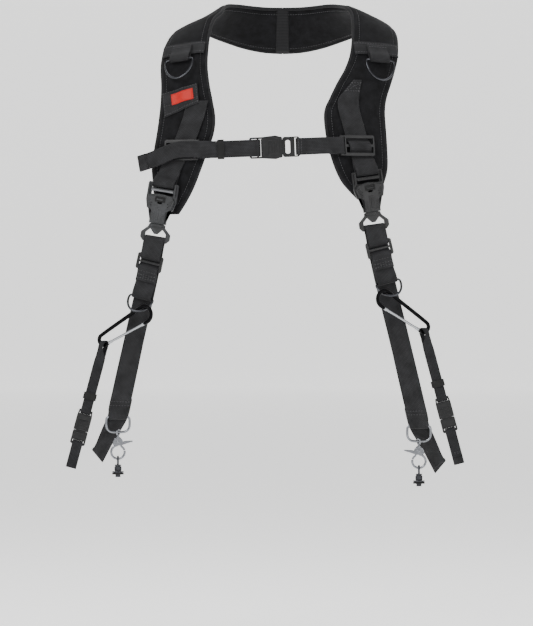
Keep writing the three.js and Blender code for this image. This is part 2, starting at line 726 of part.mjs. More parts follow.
function legFrames(side) {
  const origin = inFrame(side.qrFrame, 0, -QR_LENGTH, 0);
  const tilt = radians(side.legTilt);
  const recede = radians(side.legRecede);
  const down = vec(
    side.sign * Math.sin(tilt), Math.cos(tilt) * Math.sin(recede), -Math.cos(tilt) * Math.cos(recede),
  );
  side.leg = frame(origin, down, outOf(side.qrFrame));
  const topWire = inFrame(side.leg, 0, -side.strapLength, backDepth - hipFold);
  side.hipTop = frame(topWire, vec(0, 0, -1), vec(0, -1, 0));
}

function mainStrap(name, side) {
  const { leg, slideAt, hemAt, strapLength } = side;
  const level = vec(1, 0, 0);
  const s = slideAt;
  const front = [
    [hemAt, backDepth + 3 * ply], [s + SLIDE_PITCH + 4, backDepth + 3 * ply],
    [s + SLIDE_PITCH + 1.4, slideLift], [s + SLIDE_PITCH - 1.8, slideLift], [s + 1.8, -slideLift],
    [s - 1.8, -slideLift], [s - SLIDE_PITCH + 1.8, slideLift], [s - SLIDE_PITCH - 2, slideLift],
    [6, foldRadius],
  ];
  const rows = [
    ...ribbonRows(leg, front),
    ...ribbonRows(leg, foldRound(0, 0, foldRadius, 90, 270, 8), acrossOf(side.qrFrame)),
    ...ribbonRows(leg, [[7, -foldRadius], [s - SLIDE_PITCH - 3, backDepth]]),
  ];
  const turns = [0, 0.25, 0.5, 0.75, 1].map((share) => ({
    down: THREE.MathUtils.lerp(strapLength - 90, strapLength - 9, share),
    across: acrossOf(leg).lerp(level, share).normalize(),
  }));
  for (const turn of turns) {
    rows.push(...ribbonRows(leg, [[turn.down, backDepth]], turn.across));
  }
  const narrow = (row) => ({ ...row, width: HIP_FOLD_WIDTH });
  rows.push(...ribbonRows(side.hipTop, foldRound(0, 0, hipFold, 90, -90), level).map(narrow));
  rows.push(...ribbonRows(leg, [[strapLength - 8, backDepth - 2 * hipFold + 0.8]], level).map(narrow));
  rows.push(...ribbonRows(leg, [[strapLength - HIP_SEAM, backDepth - ply - 0.1]], level));
  part(`main_strap_${name}`, strap(rows, MAIN_WIDTH, MAIN_THICKNESS), webbing);
}

function triGlide(name, side) {
  const slot = 0.5 * MAIN_WIDTH + 2 * GAP;
  const wide = slot + SLIDE_RAIL;
  const tall = SLIDE_PITCH + 0.5 * SLIDE_BAR;
  const upper = rectangle(-slot, slot, 0.5 * SLIDE_BAR, SLIDE_PITCH - 0.5 * SLIDE_BAR);
  const lower = rectangle(-slot, slot, 0.5 * SLIDE_BAR - SLIDE_PITCH, -0.5 * SLIDE_BAR);
  const shape = plate(softRectangle(-wide, wide, -tall, tall, 1.6), [upper, lower], SLIDE_THICKNESS);
  part(`tri_glide_${name}`, shape.translate(0, -side.slideAt, 0).applyMatrix4(side.leg), plastic);
}

// A place on the bow of a D-shaped wire, from one end of its bar (0) to the other (pi).
function dringBow(width, height, angle) {
  return [0.5 * width * Math.cos(angle), -DRING_SHOULDER - (height - DRING_SHOULDER) * Math.sin(angle)];
}

// A D-shaped wire: a straight bar and a round bow, hanging from the bar by an angle off the face.
function dring(matrix, barDown, barDepth, width, height, tiltOut) {
  const half = 0.5 * width;
  const bow = Array.from({ length: 13 }, (_, i) => dringBow(width, height, (Math.PI * i) / 12));
  const outline = [[half - 2, 0], ...bow, [-half + 2, 0], [-0.3 * half, 0], [0.3 * half, 0]];
  const turn = radians(tiltOut);
  const points = outline.map(([x, y]) => inFrame(
    matrix, x, -barDown + y * Math.cos(turn), barDepth - y * Math.sin(turn),
  ));
  return wire(points, DRING_WIRE, true);
}

function lowerDring(name, side) {
  const { leg, lowerDringAt, slideAt } = side;
  const start = slideAt + SLIDE_PITCH + 4.5;
  const back = backDepth + ply;
  const centre = back + loopFold;
  side.lowerDringDepth = centre;
  const path = [
    [start, back], [lowerDringAt - 5, back],
    ...foldRound(lowerDringAt, centre, loopFold, -90, 90),
    [lowerDringAt - 4, centre + loopFold], [side.hemAt + 2, back + ply], [start, back + ply],
  ];
  part(`lower_dring_loop_${name}`, strap(ribbonRows(leg, path), LOOP_WIDTH, MAIN_THICKNESS), webbing);
  const ring = dring(leg, lowerDringAt, centre, DRING_WIDTH, DRING_HEIGHT, LOWER_DRING_TILT);
  part(`lower_dring_${name}`, ring, darkMetal);
}

// The spare end of the leg's webbing, sewn behind the hip ring's fold, hanging splayed and turned.
function strapTail(name, side) {
  const { hipTop, sign } = side;
  const start = -HIP_SEAM + 2;
  const behind = -(hipFold + 0.5 * MAIN_THICKNESS + GAP + 0.5 * MAIN_THICKNESS + 0.3);
  const topZ = -start * 0.98;
  const slant = Math.tan(radians(side.legTilt));
  const drop = side.tailLength + HIP_RING_HEIGHT * 0.5;
  const splay = Math.tan(radians(TAIL_SPLAY));
  const turned = (angle) => vec(Math.cos(radians(angle)), -sign * Math.sin(radians(angle)), 0);
  const place = (x, down, depth) => inFrame(hipTop, sign * x, -down, depth);
  const rows = [
    { point: place(-topZ * slant, -topZ, behind + 2.2), across: turned(0) },
    { point: place(-0.5 * topZ * slant, -0.5 * topZ, behind + 0.9), across: turned(0) },
    { point: place(0, -1, behind), across: turned(0) },
    { point: place(3, 6, behind - 1), across: turned(12) },
    { point: place(0.4 * drop * splay, 0.4 * drop, behind - 7.2), across: turned(28) },
    { point: place(0.65 * drop * splay, 0.65 * drop, behind - 10.6), across: turned(TAIL_TURN) },
    { point: place(drop * splay, drop, behind - 12.5), across: turned(TAIL_TURN), skew: -sign * TAIL_SLANT },
  ];
  part(`strap_tail_${name}`, strap(finer(rows, 4), MAIN_WIDTH, MAIN_THICKNESS), webbing);
}

// The hip ring is an oval wire that hangs level, and the hook's eye hangs on its lower wire.
function hipRing(name, side) {
  const half = 0.5 * HIP_RING_WIDTH - HIP_WIRE;
  const tall = HIP_RING_HEIGHT - 2 * HIP_WIRE;
  const corner = (x, y, radius, from) => arc(
    vec(x, y, 0), radius, vec(1, 0, 0), vec(0, 1, 0), from, from - 90, 4,
  );
  const top = HIP_TOP_CORNER;
  const low = HIP_LOW_CORNER;
  const points = [
    ...corner(half - top, -top, top, 90), ...corner(half - low, low - tall, low, 0),
    ...corner(low - half, low - tall, low, -90), ...corner(top - half, -top, top, -180),
  ].map((p) => p.applyMatrix4(side.hipTop));
  part(`hip_ring_${name}`, wire(points, HIP_WIRE, true), chrome);
  side.hipBottom = frame(inFrame(side.hipTop, 0, -tall, 0), vec(0, 0, -1), vec(0, -1, 0));
}

const eyeDrop = EYE_RADIUS - EYE_WIRE - HIP_WIRE - GAP;
const eyeBottom = eyeDrop + EYE_RADIUS + EYE_WIRE;
const bodyTop = eyeBottom + GAP;
const bodyBottom = bodyTop + HOOK_BODY_HEIGHT;
const hookCentre = bodyBottom + HOOK_RING_RADIUS + HOOK_RING_WIRE - 1.6;

function lathe(profile, segments = 16) {
  return new THREE.LatheGeometry(profile.map(([r, y]) => new THREE.Vector2(r, y)), segments);
}

function hookEye(name, side) {
  const matrix = side.hipBottom.clone().multiply(new THREE.Matrix4().makeTranslation(0, -eyeDrop, 0));
  const turn = radians(90 - EYE_TURN) * side.sign;
  const flat = vec(Math.cos(turn), 0, Math.sin(turn));
  const circle = arc(vec(0, 0, 0), EYE_RADIUS, flat, vec(0, 1, 0), 0, 330, 11);
  const loop = wire(circle, EYE_WIRE, true);
  const bottom = -EYE_RADIUS - EYE_WIRE - SHANK_LENGTH;
  const shank = lathe([
    [0, bottom], [SHANK_RADIUS, bottom], [SHANK_RADIUS, -EYE_RADIUS], [0, -EYE_RADIUS],
  ], 12);
  part(`hook_eye_${name}`, join(loop, shank).applyMatrix4(matrix), chrome);
}

// The hook: a flat body with a bore for the eye's shank, and an open ring closed by the trigger.
function hook(name, side) {
  const inward = -side.sign;
  const half = 0.5 * HOOK_BODY_WIDTH;
  const block = plate(softRectangle(-half, half, -bodyBottom, -bodyTop, 1.8), [], HOOK_BODY_THICKNESS);
  const bore = lathe([
    [0, -bodyTop - SHANK_LENGTH - 0.4], [SHANK_RADIUS + GAP, -bodyTop - SHANK_LENGTH - 0.4],
    [SHANK_RADIUS + GAP, -bodyTop + 1], [0, -bodyTop + 1],
  ], 12);
  const u = vec(inward, 0, 0);
  const v = vec(0, 1, 0);
  const centre = vec(0, -hookCentre, 0);
  const open = wire(arc(centre, HOOK_RING_RADIUS, u, v, 92, 372, 16), HOOK_RING_WIRE, false);
  const [from, to] = [inward * 1.6, inward * 9].sort((a, b) => a - b);
  const notch = plate(rectangle(from, to, -bodyBottom - 1, -bodyTop - 5), [], TRIGGER_THICKNESS + 0.8);
  const rivet = lathe([[0, -0.5], [1.5, -0.5], [1.5, 0.5], [0, 0.5]], 12)
    .rotateX(0.5 * Math.PI).translate(0, -bodyTop - 6.2, 0.5 * HOOK_BODY_THICKNESS);
  const shape = cut(join(block, open, rivet), bore, notch);
  part(`hook_body_${name}`, shape.applyMatrix4(side.hipBottom), chrome);
  const outer = arc(centre, HOOK_RING_RADIUS + 1.2, u, v, 62, 17, 4).map((p) => [p.x, p.y]);
  const inner = arc(centre, HOOK_RING_RADIUS - 1.2, u, v, 17, 62, 4).map((p) => [p.x, p.y]);
  const pivot = [inward * 3.8, -bodyBottom + 2.6];
  const tab = [
    [pivot[0] - inward * 1.6, pivot[1] - 0.6], [pivot[0] - inward * 0.8, pivot[1] + 1.6],
    [inward * (half + 2), pivot[1] + 3.2], [inward * (half + TRIGGER_REACH - 1), pivot[1] + 3.6],
    [inward * (half + TRIGGER_REACH), pivot[1] + 2.4], [inward * (half + 3), pivot[1] - 0.4],
  ];
  const outline = [...tab, ...outer, ...inner];
  side.triggerPivot = inFrame(side.hipBottom, pivot[0], pivot[1], 0);
  const trigger = plate(outline, [], TRIGGER_THICKNESS);
  part(`hook_trigger_${name}`, toGeometry(toSolid(trigger)).applyMatrix4(side.hipBottom), chrome);
  side.hookRingBottom = frame(
    inFrame(side.hipBottom, 0, -hookCentre - HOOK_RING_RADIUS, 0), vec(0, 0, -1), vec(0, -1, 0),
  );
}

// The stud: a bail on the hook's ring, a knurled post, a flange and a plain tripod thread.
function stud(name, side) {
  const matrix = side.hookRingBottom;
  const r = STUD_BAIL_HALF;
  const top = STUD_BAIL_WIRE + HOOK_RING_WIRE + GAP;
  const low = top - STUD_BAIL_HEIGHT;
  const out = vec(0, 0, 1);
  const upper = arc(vec(0, top - r, 0), r, out, vec(0, 1, 0), 0, 180, 8);
  const lower = [vec(0, low, -r), vec(0, low - 1.4, -0.6 * r), vec(0, low - 1.4, 0.6 * r), vec(0, low, r)];
  const bail = wire([...upper, ...lower], STUD_BAIL_WIRE, true);
  const postTop = low - 0.8;
  const postEnd = postTop - STUD_LENGTH;
  const post = lathe([
    [0, postEnd - THREAD_LENGTH - FLANGE_THICKNESS],
    [THREAD_RADIUS, postEnd - THREAD_LENGTH - FLANGE_THICKNESS],
    [THREAD_RADIUS, postEnd - FLANGE_THICKNESS], [FLANGE_RADIUS, postEnd - FLANGE_THICKNESS],
    [FLANGE_RADIUS, postEnd], [STUD_RADIUS, postEnd], [STUD_RADIUS, postTop - 0.8],
    [STUD_RADIUS - 0.8, postTop], [0, postTop],
  ]);
  part(`camera_stud_${name}`, join(bail, post).applyMatrix4(matrix), darkMetal);
  const washerTop = postEnd - FLANGE_THICKNESS - GAP;
  const washer = lathe([
    [THREAD_RADIUS + GAP, washerTop - WASHER_THICKNESS], [FLANGE_RADIUS, washerTop - WASHER_THICKNESS],
    [FLANGE_RADIUS, washerTop], [THREAD_RADIUS + GAP, washerTop],
    [THREAD_RADIUS + GAP, washerTop - WASHER_THICKNESS],
  ]);
  part(`stud_washer_${name}`, washer.applyMatrix4(matrix), rubber);
}

// The carabiner: a pear-shaped wire whose wide end holds the lower D-ring, with a straight gate below.
function carabiner(name, side) {
  const { sign, leg } = side;
  const tilt = radians(LOWER_DRING_TILT);
  const contact = dringBow(DRING_WIDTH, DRING_HEIGHT, radians(BOW_CONTACT));
  const bow = inFrame(
    leg, -sign * contact[0], -side.lowerDringAt + contact[1] * Math.cos(tilt),
    side.lowerDringDepth - contact[1] * Math.sin(tilt),
  );
  const slope = radians(side.carabinerSlope);
  const turn = radians(CARABINER_TURN);
  const away = vec(sign * Math.cos(turn), Math.sin(turn), 0);
  const along = away.clone().multiplyScalar(Math.cos(slope)).add(vec(0, 0, -Math.sin(slope)));
  const up = away.clone().multiplyScalar(Math.sin(slope)).add(vec(0, 0, Math.cos(slope)));
  const big = CARABINER_BIG_RADIUS;
  const small = CARABINER_SMALL_RADIUS;
  const centre = bow.clone().addScaledVector(up, -RING_SEAT);
  const reach = CARABINER_LENGTH - big - small - 2 * CARABINER_WIRE;
  const lean = THREE.MathUtils.radToDeg(Math.asin((big - small) / reach));
  const far = centre.clone().addScaledVector(along, reach);
  const nearEnd = arc(centre, big, along, up, -90 - lean, -270 + lean, 10);
  const farEnd = arc(far, small, along, up, 90 - lean, lean - 90, 8);
  const lowLine = nearEnd[0].clone().sub(farEnd[8]).normalize();
  const body = [
    nearEnd[0].clone().addScaledVector(lowLine, -NOSE_REACH), ...nearEnd,
    nearEnd[10].clone().lerp(farEnd[0], 0.5), ...farEnd,
    farEnd[8].clone().addScaledVector(lowLine, NOSE_REACH),
  ];
  part(`carabiner_body_${name}`, wire(body, CARABINER_WIRE, false), blackMetal);
  const start = body[0];
  const end = body[body.length - 1];
  const line = end.clone().sub(start).normalize();
  const gate = [
    start.clone().addScaledVector(line, HINGE_GAP),
    end.clone().addScaledVector(line, -NOSE_GAP),
  ];
  part(`carabiner_gate_${name}`, wire(gate, GATE_WIRE, false), silver);
  side.carabinerEnd = far.clone().add(vec(0, 0, -small));
  side.carabinerAway = away.multiplyScalar(sign);
}

// The tether: a loop on the carabiner's narrow end, a keeper, a small buckle and the lower webbing.
const tetherFold = CARABINER_WIRE + TETHER_SLACK + 0.5 * TETHER_THICKNESS;
const tetherBarFold = 1.35 * BAR_RADIUS + GAP + 0.5 * TETHER_THICKNESS;

function tether(name, side) {
  const { sign } = side;
  const tilt = radians(TETHER_TILT);
  const down = vec(sign * Math.sin(tilt), 0, -Math.cos(tilt));
  const matrix = frame(side.carabinerEnd, down, vec(0, -1, 0));
  const buckleAt = TETHER_BUCKLE_AT;
  const maleEnd = buckleAt + TETHER_FEMALE_LENGTH + GAP + TETHER_MALE_LENGTH;
  const narrow = (row) => ({ ...row, width: TETHER_FOLD_WIDTH });
  const loop = frame(side.carabinerEnd, down, side.carabinerAway.clone().cross(vec(0, 0, 1)));
  const twist = side.carabinerAway.clone().lerp(acrossOf(matrix), 0.5).normalize();
  const upper = [
    ...ribbonRows(matrix, [[44, -0.9], [26, -0.9]]),
    ...ribbonRows(matrix, [[16, -1.6]], twist),
    ...ribbonRows(loop, [[6, 0.5 - tetherFold]], side.carabinerAway).map(narrow),
    ...ribbonRows(loop, foldRound(0, 0, tetherFold, 270, 90, 8), side.carabinerAway).map(narrow),
    ...ribbonRows(loop, [[6, tetherFold - 0.5]], side.carabinerAway).map(narrow),
    ...ribbonRows(matrix, [[16, 1.6]], twist),
    ...ribbonRows(matrix, [[26, 0.9], [buckleAt - 8, 0.9], [buckleAt, 2.2]]),
    ...ribbonRows(matrix, foldRound(buckleAt + 2.5, 0, tetherBarFold, 90, -90)),
    ...ribbonRows(matrix, [[buckleAt - 3, -2.2], [buckleAt - 10, -0.9], [48, -0.9]]),
  ];
  part(`tether_upper_${name}`, strap(upper, TETHER_WIDTH, TETHER_THICKNESS), webbing);
  const wide = 0.5 * TETHER_WIDTH + GAP;
  const deep = 0.9 + 0.5 * TETHER_THICKNESS + GAP;
  const [outerWide, outerDeep] = [wide + KEEPER_WALL, deep + KEEPER_WALL];
  const outline = rectangle(-outerWide, outerWide, -outerDeep, outerDeep);
  const keeper = plate(outline, [rectangle(-wide, wide, -deep, deep)], KEEPER_LENGTH)
    .rotateX(0.5 * Math.PI).translate(0, KEEPER_TO_BUCKLE - buckleAt, 0);
  part(`tether_keeper_${name}`, keeper.applyMatrix4(matrix), rubber);
  const half = 0.5 * TETHER_BUCKLE_WIDTH;
  const slot = 0.5 * TETHER_WIDTH + 2 * GAP;
  const femaleEnd = buckleAt + TETHER_FEMALE_LENGTH;
  const room = BAR_RADIUS + TETHER_THICKNESS + 3 * GAP;
  const femaleOutline = [
    [-half + 1, -buckleAt - 1], [half - 1, -buckleAt - 1], [half, -buckleAt - 9],
    [half, -femaleEnd], [-half, -femaleEnd], [-half, -buckleAt - 9],
  ];
  const femaleHole = rectangle(-slot, slot, -buckleAt - 2.5 - room, -buckleAt - 2.5 - BAR_RADIUS);
  const femaleBody = plate(
    rectangle(-half, half, -femaleEnd, -buckleAt - 2.5 - room - 1.5), [], TETHER_BUCKLE_THICKNESS,
  );
  const femaleFrame = plate(femaleOutline, [femaleHole], 2 * BAR_RADIUS);
  part(`tether_buckle_female_${name}`, join(femaleFrame, femaleBody).applyMatrix4(matrix), plastic);
  const bar = maleEnd - 2.5;
  const maleHole = rectangle(-slot, slot, -bar + BAR_RADIUS, -bar + room);
  const maleFrame = plate(
    softRectangle(-half, half, -maleEnd + 1, -femaleEnd - GAP, 1.2), [maleHole], 2 * BAR_RADIUS,
  );
  const maleBody = plate(
    rectangle(-half + 1, half - 1, -bar + room + 1.5, -femaleEnd - GAP), [], TETHER_BUCKLE_THICKNESS - 1.4,
  );
  part(`tether_buckle_male_${name}`, join(maleFrame, maleBody).applyMatrix4(matrix), plastic);
  const end = side.tetherLength;
  const lower = [
    [end, -0.8], [bar + 8, -0.9], [bar, -tetherBarFold],
    ...foldRound(bar, 0, tetherBarFold, 270, 90, 6).slice(1),
    [bar + 8, 0.9], [end, 0.8],
  ];
  part(`tether_lower_${name}`, strap(ribbonRows(matrix, lower), TETHER_WIDTH, TETHER_THICKNESS), webbing);
}

// The band across the top of each pad, with a folded loop under it for the pad's own D-ring.
const padLoopFold = DRING_WIRE + GAP + 0.5 * BAND_THICKNESS;

function padBand(name, side) {
  const lift = PAD_GAP + BAND_LIFT + 0.5 * BAND_THICKNESS;
  const places = [-0.96, -0.85, -0.5, 0, 0.5, 0.85, 0.96].map((share) => ({
    t: side.bandRow, share, lift: Math.abs(share) > 0.9 ? lift + 0.4 : lift,
  }));
  const rows = padStripRows(side.surface, places, (spot) => upOnPad(side, spot));
  part(`pad_cross_band_${name}`, strap(rows, BAND_WIDTH, BAND_THICKNESS), webbing);
  const middle = side.surface.at(side.bandRow, 0, 0);
  const place = frame(middle.point, upOnPad(side, middle).negate(), middle.normal);
  const base = lift + 0.5 * BAND_THICKNESS + GAP + 0.5 * BAND_THICKNESS;
  const barDown = 0.5 * BAND_WIDTH + PAD_DRING_DROP;
  const centre = base + padLoopFold;
  const path = [
    [0.5 * BAND_WIDTH - 12, base], [barDown - 3, base],
    ...foldRound(barDown, centre, padLoopFold, -90, 90),
    [barDown - 3, centre + padLoopFold], [0.5 * BAND_WIDTH - 4, base + 1.9],
    [0.5 * BAND_WIDTH - 12, base + 1.5],
  ];
  part(`pad_dring_loop_${name}`, strap(ribbonRows(place, path), PAD_LOOP_WIDTH, BAND_THICKNESS), webbing);
  const ring = dring(place, barDown, centre, PAD_DRING_WIDTH, PAD_DRING_HEIGHT, PAD_DRING_TILT);
  part(`pad_dring_${name}`, ring, darkMetal);
}

// The patch lies on the pad, and rises over the top end of the webbing near the inner edge.
function labelPatch(side) {
  const { outer, inner } = side.patch;
  const onPad = PAD_GAP + 0.5 * PATCH_THICKNESS;
  const overWebbing = PAD_GAP + MAIN_THICKNESS + GAP + 0.5 * PATCH_THICKNESS + 0.4;
  const steps = 16;
  const places = Array.from({ length: steps + 1 }, (_, i) => {
    const share = THREE.MathUtils.lerp(outer.share, inner.share, i / steps);
    const rise = THREE.MathUtils.clamp((0.3 - share) / 0.25, 0, 1);
    return {
      t: THREE.MathUtils.lerp(outer.row, inner.row, i / steps),
      share,
      lift: THREE.MathUtils.lerp(onPad, overWebbing, rise),
      width: THREE.MathUtils.lerp(PATCH_OUTER_HEIGHT, PATCH_INNER_HEIGHT, i / steps),
    };
  });
  const turn = radians(PATCH_TURN);
  const rows = padStripRows(
    side.surface, places, (spot) => upOnPad(side, spot).applyAxisAngle(spot.normal, turn),
  );
  part('label_patch', strap(rows, PATCH_OUTER_HEIGHT, PATCH_THICKNESS), webbing);
}

// The chest strap runs between the ears of the two sliders, with its spare end back over the left one.
function slider(name, side) {
  const spot = side.surface.at(side.sliderRow, webbingShare(side, side.sliderRow), SLIDER_STANDOFF);
  const up = upOnPad(side, spot);
  const place = frame(spot.point, up.clone().negate(), spot.normal);
  const half = 0.5 * SLIDER_WIDTH;
  const tall = 0.5 * SLIDER_HEIGHT;
  const slotHalf = half - SLIDER_RAIL;
  const inward = -side.sign;
  const earBar = half + EAR_REACH;
  const arm = 0.5 * CHEST_WIDTH + 2 * GAP;
  const outline = softRectangle(-half, half, -tall, tall, 1.5);
  const holes = [
    rectangle(-slotHalf, slotHalf, 1.5, tall - 3.7), rectangle(-slotHalf, slotHalf, 3.7 - tall, -1.5),
  ];
  const earOutline = rectangle(
    Math.min(inward * (half - 1), inward * (earBar + BAR_RADIUS)),
    Math.max(inward * (half - 1), inward * (earBar + BAR_RADIUS)), -tall + 0.3, tall - 0.3,
  );
  const earHole = rectangle(
    Math.min(inward * half, inward * (earBar - BAR_RADIUS)),
    Math.max(inward * half, inward * (earBar - BAR_RADIUS)), -arm, arm,
  );
  const shape = join(
    plate(outline, holes, SLIDE_THICKNESS), plate(earOutline, [earHole], SLIDE_THICKNESS),
  );
  part(`chest_slider_${name}`, shape.applyMatrix4(place), plastic);
  side.slider = place;
  side.earAt = inward * earBar;
}

const earFold = BAR_RADIUS + 0.6 + 0.5 * CHEST_THICKNESS;

// Rows of a chest strap from [x, depth, y] in a frame whose x runs along the strap.
function chestRows(matrix, path) {
  return path.map(([x, depth, y = 0]) => ({ point: inFrame(matrix, x, y, depth), across: upOf(matrix) }));
}

// Rows from [distance from the ear's bar towards the chest, depth] in the slider's own frame.
function earRows(side, path) {
  const inward = -side.sign;
  return chestRows(side.slider, path.map(([x, depth, y]) => [side.earAt + inward * x, depth, y]));
}

function chestStrap() {
  const { left, right } = SIDES;
  const start = inFrame(left.slider, left.earAt + EAR_RUN, 0, 0);
  const end = inFrame(right.slider, right.earAt - EAR_RUN, 0, 0);
  const span = start.distanceTo(end);
  const x = end.clone().sub(start).normalize();
  const out = x.clone().cross(vec(0, 0, 1)).normalize();
  const y = out.clone().cross(x).normalize();
  const chest = new THREE.Matrix4().makeBasis(x, y, out).setPosition(start);
  const bar = CHEST_FEMALE_AT - EAR_RUN + ADJUSTER_BAR_AT;
  const keeperAt = CHEST_KEEPER_AT - EAR_RUN;
  const over = [
    [8, 4.6, 0], [0, 4.9, 0], [-EAR_REACH - 4, 4.9, 0], [-24, 4.9, -1], [-34, 4.8, -4], [-46, 4.2, -9],
    [-60, 2.4, -13.5], [-72, 0.2, -16.5],
  ].map(([at, depth, lift]) => ({ at: left.earAt + at, depth, lift }));
  const overRows = over.map(({ at, depth, lift }, i) => {
    const before = over[Math.max(i - 1, 0)];
    const after = over[Math.min(i + 1, over.length - 1)];
    const slope = Math.atan2(before.lift - after.lift, before.at - after.at);
    const across = upOf(left.slider).multiplyScalar(Math.cos(slope))
      .addScaledVector(acrossOf(left.slider), -Math.sin(slope));
    return { point: inFrame(left.slider, at, lift, depth), across };
  });
  const rows = [
    ...earRows(left, [[16, -1.9], [8, -2.5], ...foldRound(0, 0, earFold, -90, -270)]),
    ...earRows(left, [[8, 1.3], [15, 0]]),
    ...chestRows(chest, [[4, -0.3], [bar - 19, -1.2], [bar - 7, -ADJUSTER_FOLD]]),
    ...chestRows(chest, foldRound(bar, 0, ADJUSTER_FOLD, -90, 90)),
    ...chestRows(chest, [[bar - 11, ADJUSTER_FOLD], [keeperAt + 12, 1.7], [keeperAt - 6, 1.7]]),
    ...overRows,
  ];
  part('chest_strap_left', strap(rows, CHEST_WIDTH, CHEST_THICKNESS), webbing);
  const high = 0.5 * CHEST_WIDTH + GAP;
  const outline = rectangle(-2.9, 3.9, -high - KEEPER_WALL, high + KEEPER_WALL);
  const keeper = plate(outline, [rectangle(-1.9, 2.9, -high, high)], KEEPER_LENGTH)
    .rotateY(-0.5 * Math.PI).translate(keeperAt, 0, 0);
  part('chest_keeper', keeper.applyMatrix4(chest), rubber);
  chestBuckle(chest, span);
}

function chestBuckle(chest, span) {
  const { right } = SIDES;
  const half = 0.5 * CHEST_BUCKLE_HEIGHT;
  const slotHalf = 0.5 * CHEST_WIDTH + 2 * GAP;
  const x0 = CHEST_FEMALE_AT - EAR_RUN;
  const bar = x0 + ADJUSTER_BAR_AT;
  const x1 = x0 + CHEST_FEMALE_LENGTH;
  const bodyAt = bar + 1.2 + 4;
  const rim = 1.2;
  const inner = plate(softRectangle(x0, x1, -half + 1.4, half - 1.4, 1.5), [
    rectangle(x0 + 2.6, bar - rim, -slotHalf, slotHalf),
    rectangle(bar + rim, bodyAt, -slotHalf, slotHalf),
  ], 2 * rim);
  const shell = plate([
    [bodyAt, -half + 1.4], [x1 - 8, -half], [x1, -half + 2.4], [x1, half - 2.4], [x1 - 8, half],
    [bodyAt, half - 1.4],
  ], [], CHEST_BUCKLE_THICKNESS);
  part('chest_buckle_female', join(inner, shell).applyMatrix4(chest), plastic);
  const m0 = x1 + GAP;
  const m1 = m0 + CHEST_MALE_LENGTH;
  const endBar = m1 - BAR_RADIUS;
  const foldSlot = rectangle(endBar - 4.6, endBar - BAR_RADIUS, -slotHalf, slotHalf);
  const opening = softRectangle(m0 + 3.4, m0 + 9, -8, 8, 1.5);
  const male = plate(softRectangle(m0, m1, -half + 2, half - 2, 1.8), [foldSlot, opening], SLIDE_THICKNESS);
  part('chest_buckle_male', male.applyMatrix4(chest), plastic);
  const maleFold = foldRound(0, 0, BAR_RADIUS + GAP * 2 + 0.5 * CHEST_THICKNESS, 270, 90)
    .map(([at, depth]) => [endBar + at, depth]);
  const rows = [
    ...chestRows(chest, [[endBar + 15, -1.9], [endBar + 7, -2.5]]),
    ...chestRows(chest, maleFold),
    ...chestRows(chest, [[endBar + 8, 1.0], [endBar + 16, 0], [span - 3, 0]]),
    ...earRows(right, [[15, 0], [8, 1.3], ...foldRound(0, 0, earFold, 90, 270), [8, -2.5], [16, -1.9]]),
  ];
  part('chest_strap_right', strap(rows, CHEST_WIDTH, CHEST_THICKNESS), webbing);
}

for (const [name, side] of Object.entries(SIDES)) {
  padWebbing(name, side);
  qrUpper(name, side);
  qrLower(name, side);
  legFrames(side);
  mainStrap(name, side);
  triGlide(name, side);
  lowerDring(name, side);
  hipRing(name, side);
  strapTail(name, side);
  hookEye(name, side);
  hook(name, side);
  stud(name, side);
  carabiner(name, side);
  tether(name, side);
  padBand(name, side);
  slider(name, side);
}
labelPatch(SIDES.left);
chestStrap();

export default model;
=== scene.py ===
# Dual camera harness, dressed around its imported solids: neoprene shoulder pads, webbing, moulded
# buckles and plated fittings, hung as it is worn.
import math

import bmesh
import bpy
from mathutils import Matrix, Vector, noise


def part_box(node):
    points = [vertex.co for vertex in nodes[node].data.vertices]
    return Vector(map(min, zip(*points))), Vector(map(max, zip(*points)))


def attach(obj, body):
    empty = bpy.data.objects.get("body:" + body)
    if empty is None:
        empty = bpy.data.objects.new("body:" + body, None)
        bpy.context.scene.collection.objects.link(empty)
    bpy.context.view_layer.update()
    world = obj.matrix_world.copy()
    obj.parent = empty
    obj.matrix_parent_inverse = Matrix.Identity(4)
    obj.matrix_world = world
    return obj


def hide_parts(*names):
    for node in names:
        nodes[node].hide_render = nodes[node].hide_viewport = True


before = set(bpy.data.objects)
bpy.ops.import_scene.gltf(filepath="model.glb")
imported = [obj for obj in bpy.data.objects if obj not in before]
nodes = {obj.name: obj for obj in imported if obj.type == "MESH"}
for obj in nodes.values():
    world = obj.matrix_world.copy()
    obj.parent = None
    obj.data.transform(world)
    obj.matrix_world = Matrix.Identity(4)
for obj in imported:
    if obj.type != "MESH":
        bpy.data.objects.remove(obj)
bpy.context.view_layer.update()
MM = 0.001
SIDES = {"left": -1, "right": 1}

# Camera and studio
# The camera stands level in front of the chest with a long lens, as the photograph was taken.
# The floor runs up into a plain backdrop all round, and three large soft lights stand inside it.
VIEW_CENTRE = Vector((-0.0196, -0.09, -0.3534))
VIEW_WIDTH = 0.634
CAMERA_DISTANCE = 6.0
SENSOR = 36.0
FLOOR_LEVEL = -0.74


def tone(code):
    """An sRGB hex colour as a linear one."""
    channels = [int(code[i:i + 2], 16) / 255 for i in (1, 3, 5)]
    linear = [c / 12.92 if c <= 0.04045 else ((c + 0.055) / 1.055) ** 2.4 for c in channels]
    return (*linear, 1.0)


def set_inputs(node, **values):
    """Sets inputs of a node by name, with _ for a space."""
    for key, value in values.items():
        node.inputs[key.replace("_", " ")].default_value = value


def add_node(tree, kind, links=None, **settings):
    """Adds a node, sets its attributes and inputs, and links outputs of other nodes to it."""
    made = tree.nodes.new(kind)
    for key, value in settings.items():
        if hasattr(made, key):
            setattr(made, key, value)
        else:
            set_inputs(made, **{key: value})
    for socket, source in (links or {}).items():
        tree.links.new(source, made.inputs[socket])
    return made


def new_material(name):
    """A material with an empty tree apart from its shader and output."""
    material = bpy.data.materials.new(name)
    material.use_nodes = True
    tree = material.node_tree
    shader = tree.nodes["Principled BSDF"]
    return material, tree, shader


